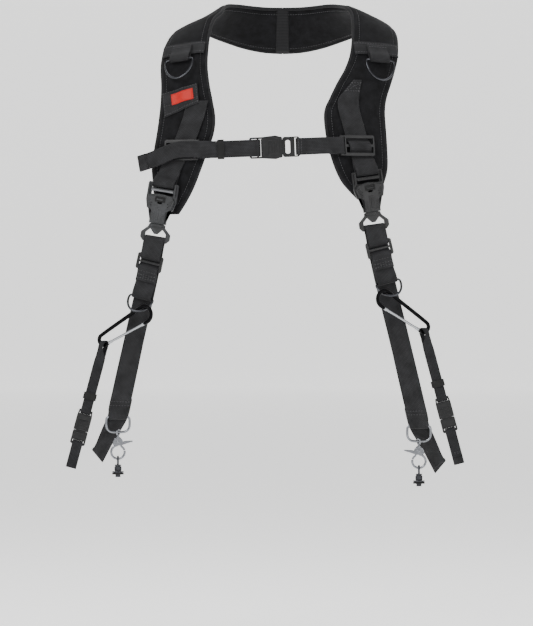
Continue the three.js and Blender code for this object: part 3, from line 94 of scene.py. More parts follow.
def new_object(name, data):
    """An object for its data, linked into the scene."""
    made = bpy.data.objects.new(name, data)
    bpy.context.scene.collection.objects.link(made)
    return made


camera_data = bpy.data.cameras.new("camera")
camera_data.sensor_width = SENSOR
camera_data.sensor_fit = "HORIZONTAL"
camera_data.lens = SENSOR * CAMERA_DISTANCE / VIEW_WIDTH
camera_data.clip_end = 80
camera = new_object("camera", camera_data)
camera.location = VIEW_CENTRE + Vector((0, -CAMERA_DISTANCE, 0))
camera.rotation_euler = (math.pi / 2, 0, 0)
bpy.context.scene.camera = camera


def build_sweep():
    """A round floor that turns up through a cove into a low wall all the way round the camera."""
    floor_radius, cove, wall_height, sides = 20.0, 2.5, 5.0, 64
    profile = [(2.0, 0.0), (floor_radius, 0.0)]
    for step in range(1, 13):
        angle = math.pi / 2 * step / 12
        profile.append((floor_radius + cove * math.sin(angle), cove - cove * math.cos(angle)))
    profile.append((floor_radius + cove, wall_height))
    vertices = []
    for radius, height in profile:
        for k in range(sides):
            angle = 2 * math.pi * k / sides
            vertices.append((radius * math.cos(angle), radius * math.sin(angle), FLOOR_LEVEL + height))
    faces = [tuple(range(sides))]
    for i in range(len(profile) - 1):
        for k in range(sides):
            near, far = i * sides, (i + 1) * sides
            faces.append((near + k, far + k, far + (k + 1) % sides, near + (k + 1) % sides))
    mesh = bpy.data.meshes.new("studio_sweep")
    mesh.from_pydata(vertices, [], faces)
    mesh.polygons.foreach_set("use_smooth", [True] * len(faces))
    sweep = new_object("studio_sweep", mesh)
    material, tree, shader = new_material("matt_studio_paper")
    grain = add_node(tree, "ShaderNodeTexNoise", Scale=1 / (400 * MM), Detail=1)
    shade = add_node(tree, "ShaderNodeValToRGB", {"Fac": grain.outputs["Fac"]})
    shade.color_ramp.elements[0].color = tone("#F1F1F0")
    shade.color_ramp.elements[1].color = tone("#F5F5F4")
    tree.links.new(shade.outputs["Color"], shader.inputs["Base Color"])
    set_inputs(shader, Roughness=0.95, Specular_IOR_Level=0.1,
               Emission_Color=tone("#FFFFFF"), Emission_Strength=0.68)
    mesh.materials.append(material)


def add_light(name, place, size, power):
    """A square soft light that faces the harness."""
    data = bpy.data.lights.new(name, "AREA")
    data.shape = "SQUARE"
    data.size = size
    data.energy = power
    light = new_object(name, data)
    light.location = place
    light.rotation_euler = (VIEW_CENTRE - Vector(place)).to_track_quat("-Z", "Y").to_euler()


build_sweep()
add_light("key_light", (-1.6, -2.2, 1.5), 1.4, 62)
add_light("fill_light", (2.0, -2.0, 0.5), 1.8, 30)
add_light("top_light", (0.0, 0.3, 2.2), 1.6, 34)
world = bpy.data.worlds.new("studio")
world.use_nodes = True
# A pale ceiling over darker walls, so that bright metal has something to mirror.
world_tree = world.node_tree
direction = add_node(world_tree, "ShaderNodeTexCoord").outputs["Generated"]
height = add_node(world_tree, "ShaderNodeSeparateXYZ", {"Vector": direction}).outputs["Z"]
sky = add_node(world_tree, "ShaderNodeMapRange", {"Value": height}, From_Min=-0.6, From_Max=0.9)
walls = add_node(world_tree, "ShaderNodeValToRGB", {"Fac": sky.outputs[0]})
walls.color_ramp.elements[0].position = 0.25
walls.color_ramp.elements[0].color = tone("#58585A")
walls.color_ramp.elements[1].position = 0.8
walls.color_ramp.elements[1].color = tone("#FFFFFF")
background = world_tree.nodes["Background"]
world_tree.links.new(walls.outputs["Color"], background.inputs["Color"])
background.inputs["Strength"].default_value = 0.8
bpy.context.scene.world = world


# Shoulder pads
# Two soft straps of knit-faced neoprene over foam, bound along both edges with ribbed tape and
# sewn along the inside of the binding. They meet in a seam behind the neck.
SHOULDER_HALF = 110
CHEST_DEPTH = 100
NECK_BACK = 68
PAD_DROP = 217
PAD_WIDTH = 74
PAD_THICKNESS = 7
BINDING_THICKNESS = 3
PAD_CAMBER = 2
SEAM_GAP = 0.3
# Rows of a pad's middle line from the lower tip to the seam behind the neck: x, forward, down and
# width as shares of the sizes above, and the angles by which the outer edge turns back and down.
PAD_ROWS = {
    "right": [
        (0.898, 1.0, 1.0, 0.28, 16, 0), (0.882, 1.0, 0.955, 0.5, 16, 0),
        (0.862, 0.995, 0.905, 0.69, 16, 0), (0.844, 0.985, 0.834, 0.85, 17, 0),
        (0.812, 0.96, 0.735, 0.95, 18, 0), (0.785, 0.92, 0.625, 1.0, 19, 0),
        (0.776, 0.86, 0.526, 1.0, 20, 0), (0.816, 0.8, 0.45, 0.93, 20, 0),
        (0.876, 0.73, 0.373, 0.89, 20, 0), (0.941, 0.65, 0.296, 0.83, 20, 0),
        (0.987, 0.56, 0.219, 0.79, 20, 2), (1.003, 0.44, 0.142, 0.78, 22, 6),
        (1.0, 0.29, 0.066, 0.79, 25, 12), (0.97, 0.14, 0.012, 0.79, 30, 17),
        (0.89, 0.0, -0.018, 0.8, 40, 20),
    ],
    "left": [
        (1.212, 1.0, 1.08, 0.26, 18, 0), (1.206, 1.0, 1.025, 0.46, 18, 0),
        (1.192, 0.995, 0.97, 0.6, 18, 0), (1.172, 0.985, 0.915, 0.69, 18, 0),
        (1.143, 0.97, 0.82, 0.82, 18, 0), (1.098, 0.95, 0.728, 0.885, 19, 0),
        (1.055, 0.92, 0.641, 0.935, 20, 0), (1.037, 0.87, 0.556, 0.922, 20, 0),
        (1.043, 0.8, 0.466, 0.85, 20, 0), (1.058, 0.73, 0.374, 0.79, 20, 0),
        (1.073, 0.63, 0.282, 0.77, 20, 2), (1.064, 0.51, 0.2, 0.77, 22, 6),
        (1.036, 0.37, 0.12, 0.78, 25, 12), (0.975, 0.18, 0.045, 0.79, 30, 17),
        (0.87, 0.0, 0.01, 0.8, 40, 20),
    ],
}
COLLAR_ROWS = [
    (0.764, 0.353, -0.012, 0.79, 52, 30), (0.6, 0.647, 0.002, 0.79, 63, 42),
    (0.4, 0.853, 0.024, 0.79, 73, 53), (0.2, 0.97, 0.038, 0.79, 82, 60),
    (0.5 * SEAM_GAP / SHOULDER_HALF, 1.0, 0.042, 0.79, 90, 63),
]
CROWN_SHARES = (-1, -0.85, -0.5, 0, 0.5, 0.85, 1)
STITCH_INSET = 6.5


def spline(values, t):
    """Catmull-Rom through a list of numbers."""
    i = min(max(int(math.floor(t)), 0), len(values) - 2)
    f = t - i
    a, b, c, d = (values[min(max(k, 0), len(values) - 1)] for k in (i - 1, i, i + 1, i + 2))
    return b + 0.5 * f * (c - a + f * (2 * a - 5 * b + 4 * c - d + f * (3 * (b - c) + d - a)))


class Pad:
    """The surface of one pad: points on its front and back from a row number and a share across."""

    def __init__(self, side, sign):
        self.sign = sign
        rows = [(sign * x * SHOULDER_HALF, -f * CHEST_DEPTH, -d * PAD_DROP, w, r, p)
                for x, f, d, w, r, p in PAD_ROWS[side]]
        rows += [(sign * x * SHOULDER_HALF, b * NECK_BACK, -d * PAD_DROP, w, r, p)
                 for x, b, d, w, r, p in COLLAR_ROWS]
        self.columns = list(zip(*rows))
        self.last = len(rows) - 1

    def middle(self, t):
        return Vector([spline(self.columns[k], t) for k in range(3)])

    def section(self, t):
        width, recede, drop = (spline(self.columns[k], t) for k in (3, 4, 5))
        recede, drop = math.radians(recede), math.radians(drop)
        outward = Vector((
            self.sign * math.cos(recede) * math.cos(drop),
            math.sin(recede) * math.cos(drop), -math.sin(drop),
        ))
        tangent = self.middle(min(t + 0.05, self.last)) - self.middle(max(t - 0.05, 0))
        if t >= self.last:
            tangent = Vector((-self.sign, 0, 0))
        normal = (outward.cross(tangent) * self.sign).normalized()
        fullness = min(1, 0.55 + 0.3 * t)
        return self.middle(t), outward, normal, 0.5 * width * PAD_WIDTH, fullness

    def crown(self, share):
        heights = [0.5 * BINDING_THICKNESS if abs(s) == 1
                   else 0.5 * PAD_THICKNESS + PAD_CAMBER * (1 - s * s) for s in CROWN_SHARES]
        k = max(i for i, s in enumerate(CROWN_SHARES) if s <= share)
        k = min(k, len(CROWN_SHARES) - 2)
        span = CROWN_SHARES[k + 1] - CROWN_SHARES[k]
        return spline(heights, k + (share - CROWN_SHARES[k]) / span)

    def front(self, t, share, lift=0.0):
        centre, outward, normal, half, fullness = self.section(t)
        height = self.crown(share) * fullness + lift
        return (centre + outward * share * half + normal * height) * MM

    def back(self, t, share, lift=0.0):
        centre, outward, normal, half, fullness = self.section(t)
        edge = 0.5 * BINDING_THICKNESS + (0.5 * (PAD_THICKNESS - BINDING_THICKNESS)
                                          * min(1, (1 - abs(share)) / 0.35))
        return (centre + outward * share * half - normal * (edge * fullness + lift)) * MM

    def lengths(self, steps):
        """Row numbers at even steps and the distance of each along the pad, in metres."""
        rows = [self.last * i / steps for i in range(steps + 1)]
        points = [self.middle(t) * MM for t in rows]
        run = [0.0]
        for a, b in zip(points, points[1:]):
            run.append(run[-1] + (b - a).length)
        return rows, run


def mesh_object(name, vertices, faces, material, uvs=None, smooth=True):
    """A mesh object with its material, and a UV for each corner taken from its vertex."""
    mesh = bpy.data.meshes.new(name)
    mesh.from_pydata(vertices, [], faces)
    if uvs:
        layer = mesh.uv_layers.new(name="cloth")
        for polygon in mesh.polygons:
            for loop in polygon.loop_indices:
                layer.data[loop].uv = uvs[mesh.loops[loop].vertex_index]
    mesh.polygons.foreach_set("use_smooth", [smooth] * len(mesh.polygons))
    mesh.materials.append(material)
    return new_object(name, mesh)


def ring_faces(count, size, closed=False):
    """Faces of a skin over rings of equal size, capped at both ends unless it closes on itself."""
    faces = []
    for i in range(count if closed else count - 1):
        here, ahead = i * size, (i + 1) % count * size
        for j in range(size):
            k = (j + 1) % size
            faces.append((here + j, here + k, ahead + k, ahead + j))
    if not closed:
        faces.append(tuple(reversed(range(size))))
        faces.append(tuple((count - 1) * size + j for j in range(size)))
    return faces


def outward_faces(piece):
    """Turns all faces outwards."""
    shape = bmesh.new()
    shape.from_mesh(piece.data)
    bmesh.ops.recalc_face_normals(shape, faces=shape.faces)
    shape.to_mesh(piece.data)
    shape.free()


def knit_neoprene():
    """Knit-faced neoprene: dull black with a fine grain of loops, and a soft sheen at the edges."""
    material, tree, shader = new_material("knit_faced_neoprene")
    place = add_node(tree, "ShaderNodeTexCoord").outputs["Object"]
    # Knit loops are about 0.6 mm, drawn at 1.5 mm so that they show.
    loops = add_node(tree, "ShaderNodeTexVoronoi", {"Vector": place}, Scale=1 / (1.5 * MM))
    pile = add_node(tree, "ShaderNodeTexNoise", {"Vector": place}, Scale=1 / (9 * MM), Detail=4)
    mixed = add_node(tree, "ShaderNodeMath", {0: loops.outputs["Distance"], 1: pile.outputs["Fac"]},
                     operation="MULTIPLY")
    ramp = add_node(tree, "ShaderNodeValToRGB", {"Fac": pile.outputs["Fac"]})
    ramp.color_ramp.elements[0].position = 0.3
    ramp.color_ramp.elements[0].color = tone("#0A0A0B")
    ramp.color_ramp.elements[1].position = 0.7
    ramp.color_ramp.elements[1].color = tone("#151517")
    tree.links.new(ramp.outputs["Color"], shader.inputs["Base Color"])
    bump = add_node(tree, "ShaderNodeBump", {"Height": mixed.outputs[0]}, Strength=0.6, Distance=0.0005)
    tree.links.new(bump.outputs["Normal"], shader.inputs["Normal"])
    set_inputs(shader, Roughness=0.92, Specular_IOR_Level=0.14, Sheen_Weight=0.05, Sheen_Roughness=0.4)
    return material


def ribbed_tape():
    """Woven binding tape: its ribs run across the tape, so it reads from the UV along its edge."""
    material, tree, shader = new_material("ribbed_binding_tape")
    place = add_node(tree, "ShaderNodeUVMap", uv_map="cloth").outputs["UV"]
    ribs = add_node(tree, "ShaderNodeTexWave", {"Vector": place}, Scale=1 / (5.2 * MM), Distortion=0.4)
    ribs.bands_direction = "X"
    ramp = add_node(tree, "ShaderNodeValToRGB", {"Fac": ribs.outputs["Fac"]})
    ramp.color_ramp.elements[0].color = tone("#080809")
    ramp.color_ramp.elements[1].color = tone("#1D1D1F")
    tree.links.new(ramp.outputs["Color"], shader.inputs["Base Color"])
    set_inputs(shader, Roughness=0.8, Specular_IOR_Level=0.2, Sheen_Weight=0.05)
    return material


NEOPRENE = knit_neoprene()
BINDING = ribbed_tape()
PAD_STEPS = 220
FRONT_PARTS, BACK_PARTS = 28, 12
PAD_FRONT = [-1 + 2 * i / FRONT_PARTS for i in range(FRONT_PARTS + 1)]
PAD_BACK = [1 - 2 * i / BACK_PARTS for i in range(BACK_PARTS + 1)]
PAD_INSET = 0.1
PUCKER_HEIGHT = 0.35
PUCKER_SIZE = 16
GROOVE_DEPTH = 0.7
GROOVE_WIDTH = 1.5


def stitch_groove(share, half):
    """How far the sewn line pulls the face in, in millimetres."""
    inset = (1 - abs(share)) * half
    return GROOVE_DEPTH * math.exp(-((inset - STITCH_INSET) / GROOVE_WIDTH) ** 2)


def build_pad(side, pad):
    """The padded body: a crowned front, a flatter back and slight puckers from the sewing."""
    rows, run = pad.lengths(PAD_STEPS)
    vertices, uvs = [], []
    for t, along in zip(rows, run):
        half = pad.section(t)[3]
        taper = min(1, t / 0.8, (pad.last - t) / 0.4 + 0.4)
        for share in PAD_FRONT:
            spot = pad.front(t, share)
            soft = 1 - abs(share) ** 3
            pucker = PUCKER_HEIGHT * soft * noise.noise(spot / (PUCKER_SIZE * MM))
            groove = stitch_groove(share, half) * taper
            vertices.append(pad.front(t, share, (pucker - groove) * taper - PAD_INSET))
            uvs.append((along, share * half * MM))
        for share in PAD_BACK[1:-1]:
            vertices.append(pad.back(t, share, -PAD_INSET))
            uvs.append((along, share * half * MM))
    faces = ring_faces(PAD_STEPS + 1, len(PAD_FRONT) + len(PAD_BACK) - 2)
    piece = mesh_object(f"padded_strap_{side}", vertices, faces, NEOPRENE, uvs)
    outward_faces(piece)
    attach(piece, "harness")
    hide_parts(f"shoulder_pad_{side}")


def tube(name, points, outs, shape, material, closed=False):
    """A tube whose section is a list of (aside, out) pairs, swept along points with their out
    directions. The UV runs along the points and round the section, in metres."""
    count = len(points)
    vertices, uvs = [], []
    run = 0.0
    for i, (point, out) in enumerate(zip(points, outs)):
        before = points[(i - 1) % count] if closed or i else point
        after = points[(i + 1) % count] if closed or i < count - 1 else point
        tangent = (after - before).normalized()
        aside = tangent.cross(out).normalized()
        lift = aside.cross(tangent).normalized()
        if i:
            run += (point - points[i - 1]).length
        section = shape(i, run) if callable(shape) else shape
        for j, (a, b) in enumerate(section):
            vertices.append(point + aside * a + lift * b)
            uvs.append((run, j * 0.7 * MM))
    faces = ring_faces(count, len(vertices) // count, closed)
    piece = mesh_object(name, vertices, faces, material, uvs)
    outward_faces(piece)
    return piece


BINDING_WIDTH = 4.2
BINDING_RIB = 2.1
BINDING_STEPS = 300
TIP_STEPS = 10


def build_binding(side, pad):
    """One tape that folds over the edge: up the outer side, round the tip and up the inner side."""
    top = pad.last - 0.02
    rise = [top * i / BINDING_STEPS for i in range(BINDING_STEPS + 1)]
    path = [(top - t, 1) for t in rise]
    path += [(0.0, math.cos(math.pi * i / TIP_STEPS)) for i in range(1, TIP_STEPS)]
    path += [(t, -1) for t in rise]
    points, outs = [], []
    for t, share in path:
        centre, outward, normal, half, fullness = pad.section(t)
        points.append((centre + outward * share * (half - 0.4)) * MM)
        outs.append(normal)

    def section(i, run):
        rib = 0.16 * math.sin(2 * math.pi * run / (BINDING_RIB * MM))
        fullness = pad.section(path[i][0])[4]
        wide, high = 0.5 * BINDING_WIDTH, (0.5 * BINDING_THICKNESS + 0.55) * max(fullness, 0.75)
        ring = [(wide * math.cos(a), (high + rib) * math.sin(a))
                for a in (2 * math.pi * k / 12 for k in range(12))]
        return [(x * MM, y * MM) for x, y in ring]

    piece = tube(f"edge_binding_{side}", points, outs, section, BINDING)
    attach(piece, "harness")


# Distances of the tape's rows from the seam, in rows of the pad, and how far it stands off.
SEAM_TAPE_ROWS = (0.42, 0.4, 0.3, 0.15, 0.0)
SEAM_TAPE_LIFT = 0.7
SEAM_TAPE_TUCK = -0.6


def build_seam_tape():
    """A band of the same tape wrapped round the collar over the seam behind the neck."""
    stations = [("left", gap) for gap in SEAM_TAPE_ROWS]
    stations += [("right", gap) for gap in reversed(SEAM_TAPE_ROWS)]
    vertices, uvs = [], []
    for side, gap in stations:
        pad = PADS[side]
        t = pad.last - gap
        lift = SEAM_TAPE_TUCK if gap == SEAM_TAPE_ROWS[0] else SEAM_TAPE_LIFT
        across = [pad.front(t, share, lift) for share in PAD_FRONT]
        across += [pad.back(t, share, lift) for share in PAD_BACK]
        vertices += across
        uvs += [(0.004 * i, gap * 0.02) for i in range(len(across))]
    faces = ring_faces(len(stations), len(PAD_FRONT) + len(PAD_BACK))
    piece = mesh_object("collar_seam_tape", vertices, faces, BINDING, uvs)
    outward_faces(piece)
    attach(piece, "harness")


PADS = {side: Pad(side, sign) for side, sign in SIDES.items()}
for side, pad in PADS.items():
    build_pad(side, pad)
    build_binding(side, pad)
build_seam_tape()


# Webbing
# Woven polyester tape: 25 mm legs, 27 mm on the pads, 20 mm across the chest and 12.5 mm tethers.
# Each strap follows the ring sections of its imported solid, with rounded selvedges.
def merged_shape(name):
    """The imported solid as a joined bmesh."""
    shape = bmesh.new()
    shape.from_mesh(nodes[name].data)
    bmesh.ops.remove_doubles(shape, verts=shape.verts, dist=2e-6)
    return shape


def layers_from(start):
    """Rings of four vertices from one end of a strap to the other, or None."""
    seen, layer, layers = set(start), list(start), [list(start)]
    while layer:
        ahead = {e.other_vert(v) for v in layer for e in v.link_edges} - seen
        if not ahead:
            return layers
        if len(ahead) != 4:
            return None
        layer = list(ahead)
        seen |= ahead
        layers.append(layer)
    return layers


def strap_rows(name):
    """Rows of (middle, half of the width as a vector) along a strap's solid."""
    shape = merged_shape(name)
    found = None
    for edge in shape.edges:
        start = {v for face in edge.link_faces for v in face.verts}
        if len(start) == 4:
            found = layers_from(start)
            if found and 4 * len(found) == len(shape.verts):
                break
            found = None
    rows = []
    for layer in found:
        spots = [v.co.copy() for v in layer]
        first = spots.pop(0)
        partner = min(spots, key=lambda p: (p - first).length)
        spots.remove(partner)
        one, other = (first + partner) / 2, (spots[0] + spots[1]) / 2
        if rows:
            swap = (one - rows[-1][2]).length > (other - rows[-1][2]).length
            if swap:
                one, other = other, one
        rows.append(((one + other) / 2, (one - other) / 2, one))
    shape.free()
    return [(middle, half) for middle, half, _ in rows]


def smooth_rows(rows, step):
    """Cubic rows at even steps, with slopes that allow for uneven spacing."""
    points = [p for p, _ in rows]
    slopes = []
    for i in range(len(points)):
        a, b, c = points[max(i - 1, 0)], points[i], points[min(i + 1, len(points) - 1)]
        h0, h1 = (b - a).length, (c - b).length
        if h0 == 0 or h1 == 0:
            slopes.append((c - a) / (h0 + h1))
        else:
            slopes.append(((c - b) / h1 * h0 + (b - a) / h0 * h1) / (h0 + h1))
    result = []
    for i in range(len(points) - 1):
        a, b = points[i], points[i + 1]
        length = (b - a).length
        count = max(1, round(length / step))
        for k in range(count):
            f = k / count
            h00, h10 = 2 * f ** 3 - 3 * f ** 2 + 1, f ** 3 - 2 * f ** 2 + f
            h01, h11 = 3 * f ** 2 - 2 * f ** 3, f ** 3 - f ** 2
            spot = a * h00 + slopes[i] * h10 * length + b * h01 + slopes[i + 1] * h11 * length
            result.append((spot, rows[i][1].lerp(rows[i + 1][1], f)))
    result.append(rows[-1])
    return result


def woven_polyester(name, dark, light, zone):
    """Woven polyester webbing: a chevron twill, duller than plastic, with a slight sheen."""
    material, tree, shader = new_material(name)
    place = add_node(tree, "ShaderNodeUVMap", uv_map="cloth").outputs["UV"]
    parts = add_node(tree, "ShaderNodeSeparateXYZ", {"Vector": place})
    # Picks are about 0.9 mm, drawn at 2 mm so that the twill shows.
    folded = add_node(tree, "ShaderNodeMath", {0: parts.outputs["Y"]}, operation="PINGPONG")
    folded.inputs[1].default_value = zone * MM
    slant = add_node(tree, "ShaderNodeMath", {0: parts.outputs["X"], 1: folded.outputs[0]},
                     operation="ADD")
    turns = add_node(tree, "ShaderNodeMath", {0: slant.outputs[0]}, operation="MULTIPLY")
    turns.inputs[1].default_value = 2 * math.pi / (2.0 * MM)
    twill = add_node(tree, "ShaderNodeMath", {0: turns.outputs[0]}, operation="SINE")
    warp = add_node(tree, "ShaderNodeMath", {0: parts.outputs["Y"]}, operation="MULTIPLY")
    warp.inputs[1].default_value = 2 * math.pi / (1.6 * MM)
    cords = add_node(tree, "ShaderNodeMath", {0: warp.outputs[0]}, operation="COSINE")
    both = add_node(tree, "ShaderNodeMath", {0: twill.outputs[0], 1: cords.outputs[0]}, operation="ADD")
    level = add_node(tree, "ShaderNodeMapRange", {"Value": both.outputs[0]}, From_Min=-2, From_Max=2)
    cloud = add_node(tree, "ShaderNodeTexNoise", {"Vector": place}, Scale=1 / (14 * MM), Detail=3)
    blend = add_node(tree, "ShaderNodeMath", {0: level.outputs[0], 1: cloud.outputs["Fac"]},
                     operation="MULTIPLY")
    ramp = add_node(tree, "ShaderNodeValToRGB", {"Fac": blend.outputs[0]})
    ramp.color_ramp.elements[0].position = 0.1
    ramp.color_ramp.elements[0].color = tone(dark)
    ramp.color_ramp.elements[1].position = 0.5
    ramp.color_ramp.elements[1].color = tone(light)
    tree.links.new(ramp.outputs["Color"], shader.inputs["Base Color"])
    bump = add_node(tree, "ShaderNodeBump", {"Height": level.outputs[0]}, Strength=0.45, Distance=0.0003)
    tree.links.new(bump.outputs["Normal"], shader.inputs["Normal"])
    set_inputs(shader, Roughness=0.78, Specular_IOR_Level=0.22, Sheen_Weight=0.06, Sheen_Roughness=0.35)
    return material


WEBBING = woven_polyester("woven_polyester_webbing", "#080809", "#29292B", 5.0)
TAPE = woven_polyester("woven_polyester_tape", "#080809", "#252528", 3.2)
STRAP_STEP = 1.6 * MM
STRAPS = {}
HEM_PLY = 1.2


def strap_section(half_width, thickness):
    """Points round a strap's section: flat faces with selvedges rounded by half its thickness."""
    high = 0.5 * thickness
    turn = [(-math.cos(a), math.sin(a)) for a in (math.pi * k / 8 for k in range(0, 5))]
    left = [(-half_width + high + high * x, high * y) for x, y in turn]
    flat = [((half_width - high) * s, high) for s in (-0.6, -0.25, 0.25, 0.6)]
    top = left + flat + [(-x, y) for x, y in reversed(left)]
    return top + [(x, -y) for x, y in reversed(top[1:-1])]


def lay_band(name, rows, thickness, material):
    """A flat woven band along rows of (middle, half of its width), with the frames it was laid on."""
    vertices, uvs, frames = [], [], []
    run = 0.0
    for i, (middle, half) in enumerate(rows):
        before, after = rows[max(i - 1, 0)][0], rows[min(i + 1, len(rows) - 1)][0]
        tangent = (after - before).normalized()
        normal = tangent.cross(half).normalized()
        if i:
            run += (middle - rows[i - 1][0]).length
        section = strap_section(half.length, thickness * MM)
        for x, y in section:
            vertices.append(middle + half.normalized() * x + normal * y)
            uvs.append((run, x if y >= 0 else x + 0.0007))
        frames.append((run, middle, half, normal, tangent))
    faces = ring_faces(len(rows), len(section))
    piece = mesh_object(name, vertices, faces, material, uvs)
    outward_faces(piece)
    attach(piece, "harness")
    return piece, frames


def lay_strap(node, thickness, material):
    """Makes a strap over its solid and remembers its rows for the stitching."""
    rows = smooth_rows(strap_rows(node), STRAP_STEP)
    piece, frames = lay_band(f"{node}_woven", rows, thickness, material)
    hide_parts(node)
    STRAPS[node] = (frames, thickness)


def lay_hem(node, length, end, towards):
    """The turned end of a strap: a second ply over the last few millimetres of its free end."""
    frames, thickness = STRAPS[node]
    total = frames[-1][0]
    from_last = frames[-1][1].dot(end) > frames[0][1].dot(end)
    rows = []
    for run, middle, half, normal, _ in frames:
        if (total - run if from_last else run) > length * MM:
            continue
        lift = normal if normal.dot(towards) > 0 else -normal
        rows.append((middle + lift * (0.5 * thickness + 0.5 * HEM_PLY - 0.1) * MM, half * 0.99))
    lay_band(f"{node}_hem", rows, HEM_PLY, WEBBING)


for side in SIDES:
    for kind, thickness, cloth in (
        ("pad_webbing", 1.6, WEBBING), ("main_strap", 1.6, WEBBING), ("strap_tail", 1.6, WEBBING),
        ("lower_dring_loop", 1.6, WEBBING), ("pad_cross_band", 1.2, WEBBING),
        ("pad_dring_loop", 1.2, WEBBING), ("tether_upper", 1.2, TAPE), ("tether_lower", 1.2, TAPE),
        ("chest_strap", 1.4, WEBBING),
    ):
        lay_strap(f"{kind}_{side}", thickness, cloth)
lay_strap("label_patch", 1.2, WEBBING)
lay_hem("chest_strap_left", 11, Vector((-1, 0, 0)), Vector((0, -1, 0)))
for side in SIDES:
    lay_hem(f"strap_tail_{side}", 7, Vector((0, 0, -1)), Vector((0, 1, 0)))
    lay_hem(f"tether_lower_{side}", 9, Vector((0, 0, -1)), Vector((0, -1, 0)))


# Sewing
# Bonded nylon thread in lock stitches: two rows beside the pads' bindings, boxes and bars where
# webbing is folded over a ring. One tree of nodes lays every stitch along its line.
STITCH_PITCH = 3.2 * MM
STITCH_LENGTH = 2.3 * MM
STITCH_THICKNESS = 0.62 * MM


def bonded_thread():
    """Bonded nylon thread: smooth and slightly shiny, a shade lighter than the webbing."""
    material, tree, shader = new_material("bonded_nylon_thread")
    place = add_node(tree, "ShaderNodeTexCoord").outputs["Object"]
    twist = add_node(tree, "ShaderNodeTexNoise", {"Vector": place}, Scale=1 / (1.2 * MM))
    ramp = add_node(tree, "ShaderNodeValToRGB", {"Fac": twist.outputs["Fac"]})
    ramp.color_ramp.elements[0].color = tone("#1A1A1C")
    ramp.color_ramp.elements[1].color = tone("#363639")
    tree.links.new(ramp.outputs["Color"], shader.inputs["Base Color"])
    set_inputs(shader, Roughness=0.5)
    return material


THREAD = bonded_thread()


def stitch_mesh():
    """One stitch: a short spindle whose ends dip into the cloth."""
    rings = [(-0.5, 0.35), (-0.3, 0.9), (0.0, 1.0), (0.3, 0.9), (0.5, 0.35)]
    sides = 6
    vertices = [
        (STITCH_THICKNESS / 2 * wide * math.cos(a), STITCH_THICKNESS / 2 * wide * math.sin(a),
         STITCH_LENGTH * along)
        for along, wide in rings for a in (2 * math.pi * k / sides for k in range(sides))
    ]
    faces = ring_faces(len(rings), sides)
    mesh = bpy.data.meshes.new("one_stitch")
    mesh.from_pydata(vertices, [], faces)
    mesh.polygons.foreach_set("use_smooth", [True] * len(faces))
    return mesh


def stitch_tree():
    """Nodes that set stitches end to end along the edges of a mesh of lines."""
    tree = bpy.data.node_groups.new("sewn_line", "GeometryNodeTree")
    face = tree.interface
    face.new_socket("Geometry", in_out="INPUT", socket_type="NodeSocketGeometry")
    pitch = face.new_socket("Stitch pitch", in_out="INPUT", socket_type="NodeSocketFloat")
    stitch = face.new_socket("Stitch", in_out="INPUT", socket_type="NodeSocketObject")
    face.new_socket("Geometry", in_out="OUTPUT", socket_type="NodeSocketGeometry")
    start = add_node(tree, "NodeGroupInput")
    curve = add_node(tree, "GeometryNodeMeshToCurve", {"Mesh": start.outputs["Geometry"]})
    even = add_node(tree, "GeometryNodeResampleCurve", {
        "Curve": curve.outputs[0], "Length": start.outputs["Stitch pitch"],
    }, mode="LENGTH")
    tangent = add_node(tree, "GeometryNodeInputTangent")
    turn = add_node(tree, "FunctionNodeAlignRotationToVector", {"Vector": tangent.outputs[0]}, axis="Z")
    shape = add_node(tree, "GeometryNodeObjectInfo", {"Object": start.outputs["Stitch"]})
    laid = add_node(tree, "GeometryNodeInstanceOnPoints", {
        "Points": even.outputs[0], "Instance": shape.outputs["Geometry"], "Rotation": turn.outputs[0],
    })
    real = add_node(tree, "GeometryNodeRealizeInstances", {"Geometry": laid.outputs[0]})
    coat = add_node(tree, "GeometryNodeSetMaterial", {"Geometry": real.outputs[0]}, Material=THREAD)
    end = add_node(tree, "NodeGroupOutput")
    tree.links.new(coat.outputs[0], end.inputs[0])
    return tree, pitch.identifier, stitch.identifier


SEWN_LINE, PITCH_SOCKET, STITCH_SOCKET = stitch_tree()
STITCH = bpy.data.objects.new("one_stitch", stitch_mesh())


def sew(name, lines):
    """Lays stitches along lists of points and turns them into one plain mesh."""
    vertices, edges = [], []
    for line in lines:
        first = len(vertices)
        vertices += line
        edges += [(first + i, first + i + 1) for i in range(len(line) - 1)]
    mesh = bpy.data.meshes.new(name)
    mesh.from_pydata(vertices, edges, [])
    path = new_object(name, mesh)
    modifier = path.modifiers.new("sewing", "NODES")
    modifier.node_group = SEWN_LINE
    modifier[PITCH_SOCKET] = STITCH_PITCH
    modifier[STITCH_SOCKET] = STITCH
    bpy.context.view_layer.update()
    made = bpy.data.meshes.new_from_object(path.evaluated_get(bpy.context.evaluated_depsgraph_get()))
    path.modifiers.remove(modifier)
    path.data = made
    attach(path, "harness")


def facing(frames, i, towards):
    """The normal at a row, turned to the asked side."""
    normal = frames[i][3]
    return normal if normal.dot(towards) > 0 else -normal


def row_at(node, at):
    """The index of the row at a distance along a strap, from its end if below zero."""
    frames = STRAPS[node][0]
    total = frames[-1][0]
    run = at * MM if at >= 0 else total + at * MM
    return min(range(len(frames)), key=lambda i: abs(frames[i][0] - run))


VIEWER = Vector((0, -1, 0))
# A sewn line stops at this share of half the strap's width, and the thread lies this far out.
SEWN_REACH = 0.82
THREAD_LIFT = 0.1


def thread_lift(node, i, towards):
    """From a strap's middle at a row to its thread on the asked side."""
    frames, thickness = STRAPS[node]
    return facing(frames, i, towards) * (0.5 * thickness + THREAD_LIFT) * MM


def bar_line(node, at, towards=VIEWER):
    """A sewn line straight across a strap."""
    i = row_at(node, at)
    _, middle, half, _, _ = STRAPS[node][0][i]
    lift = thread_lift(node, i, towards)
    return [middle + half * share + lift for share in (-SEWN_REACH, -0.4, 0.0, 0.4, SEWN_REACH)]


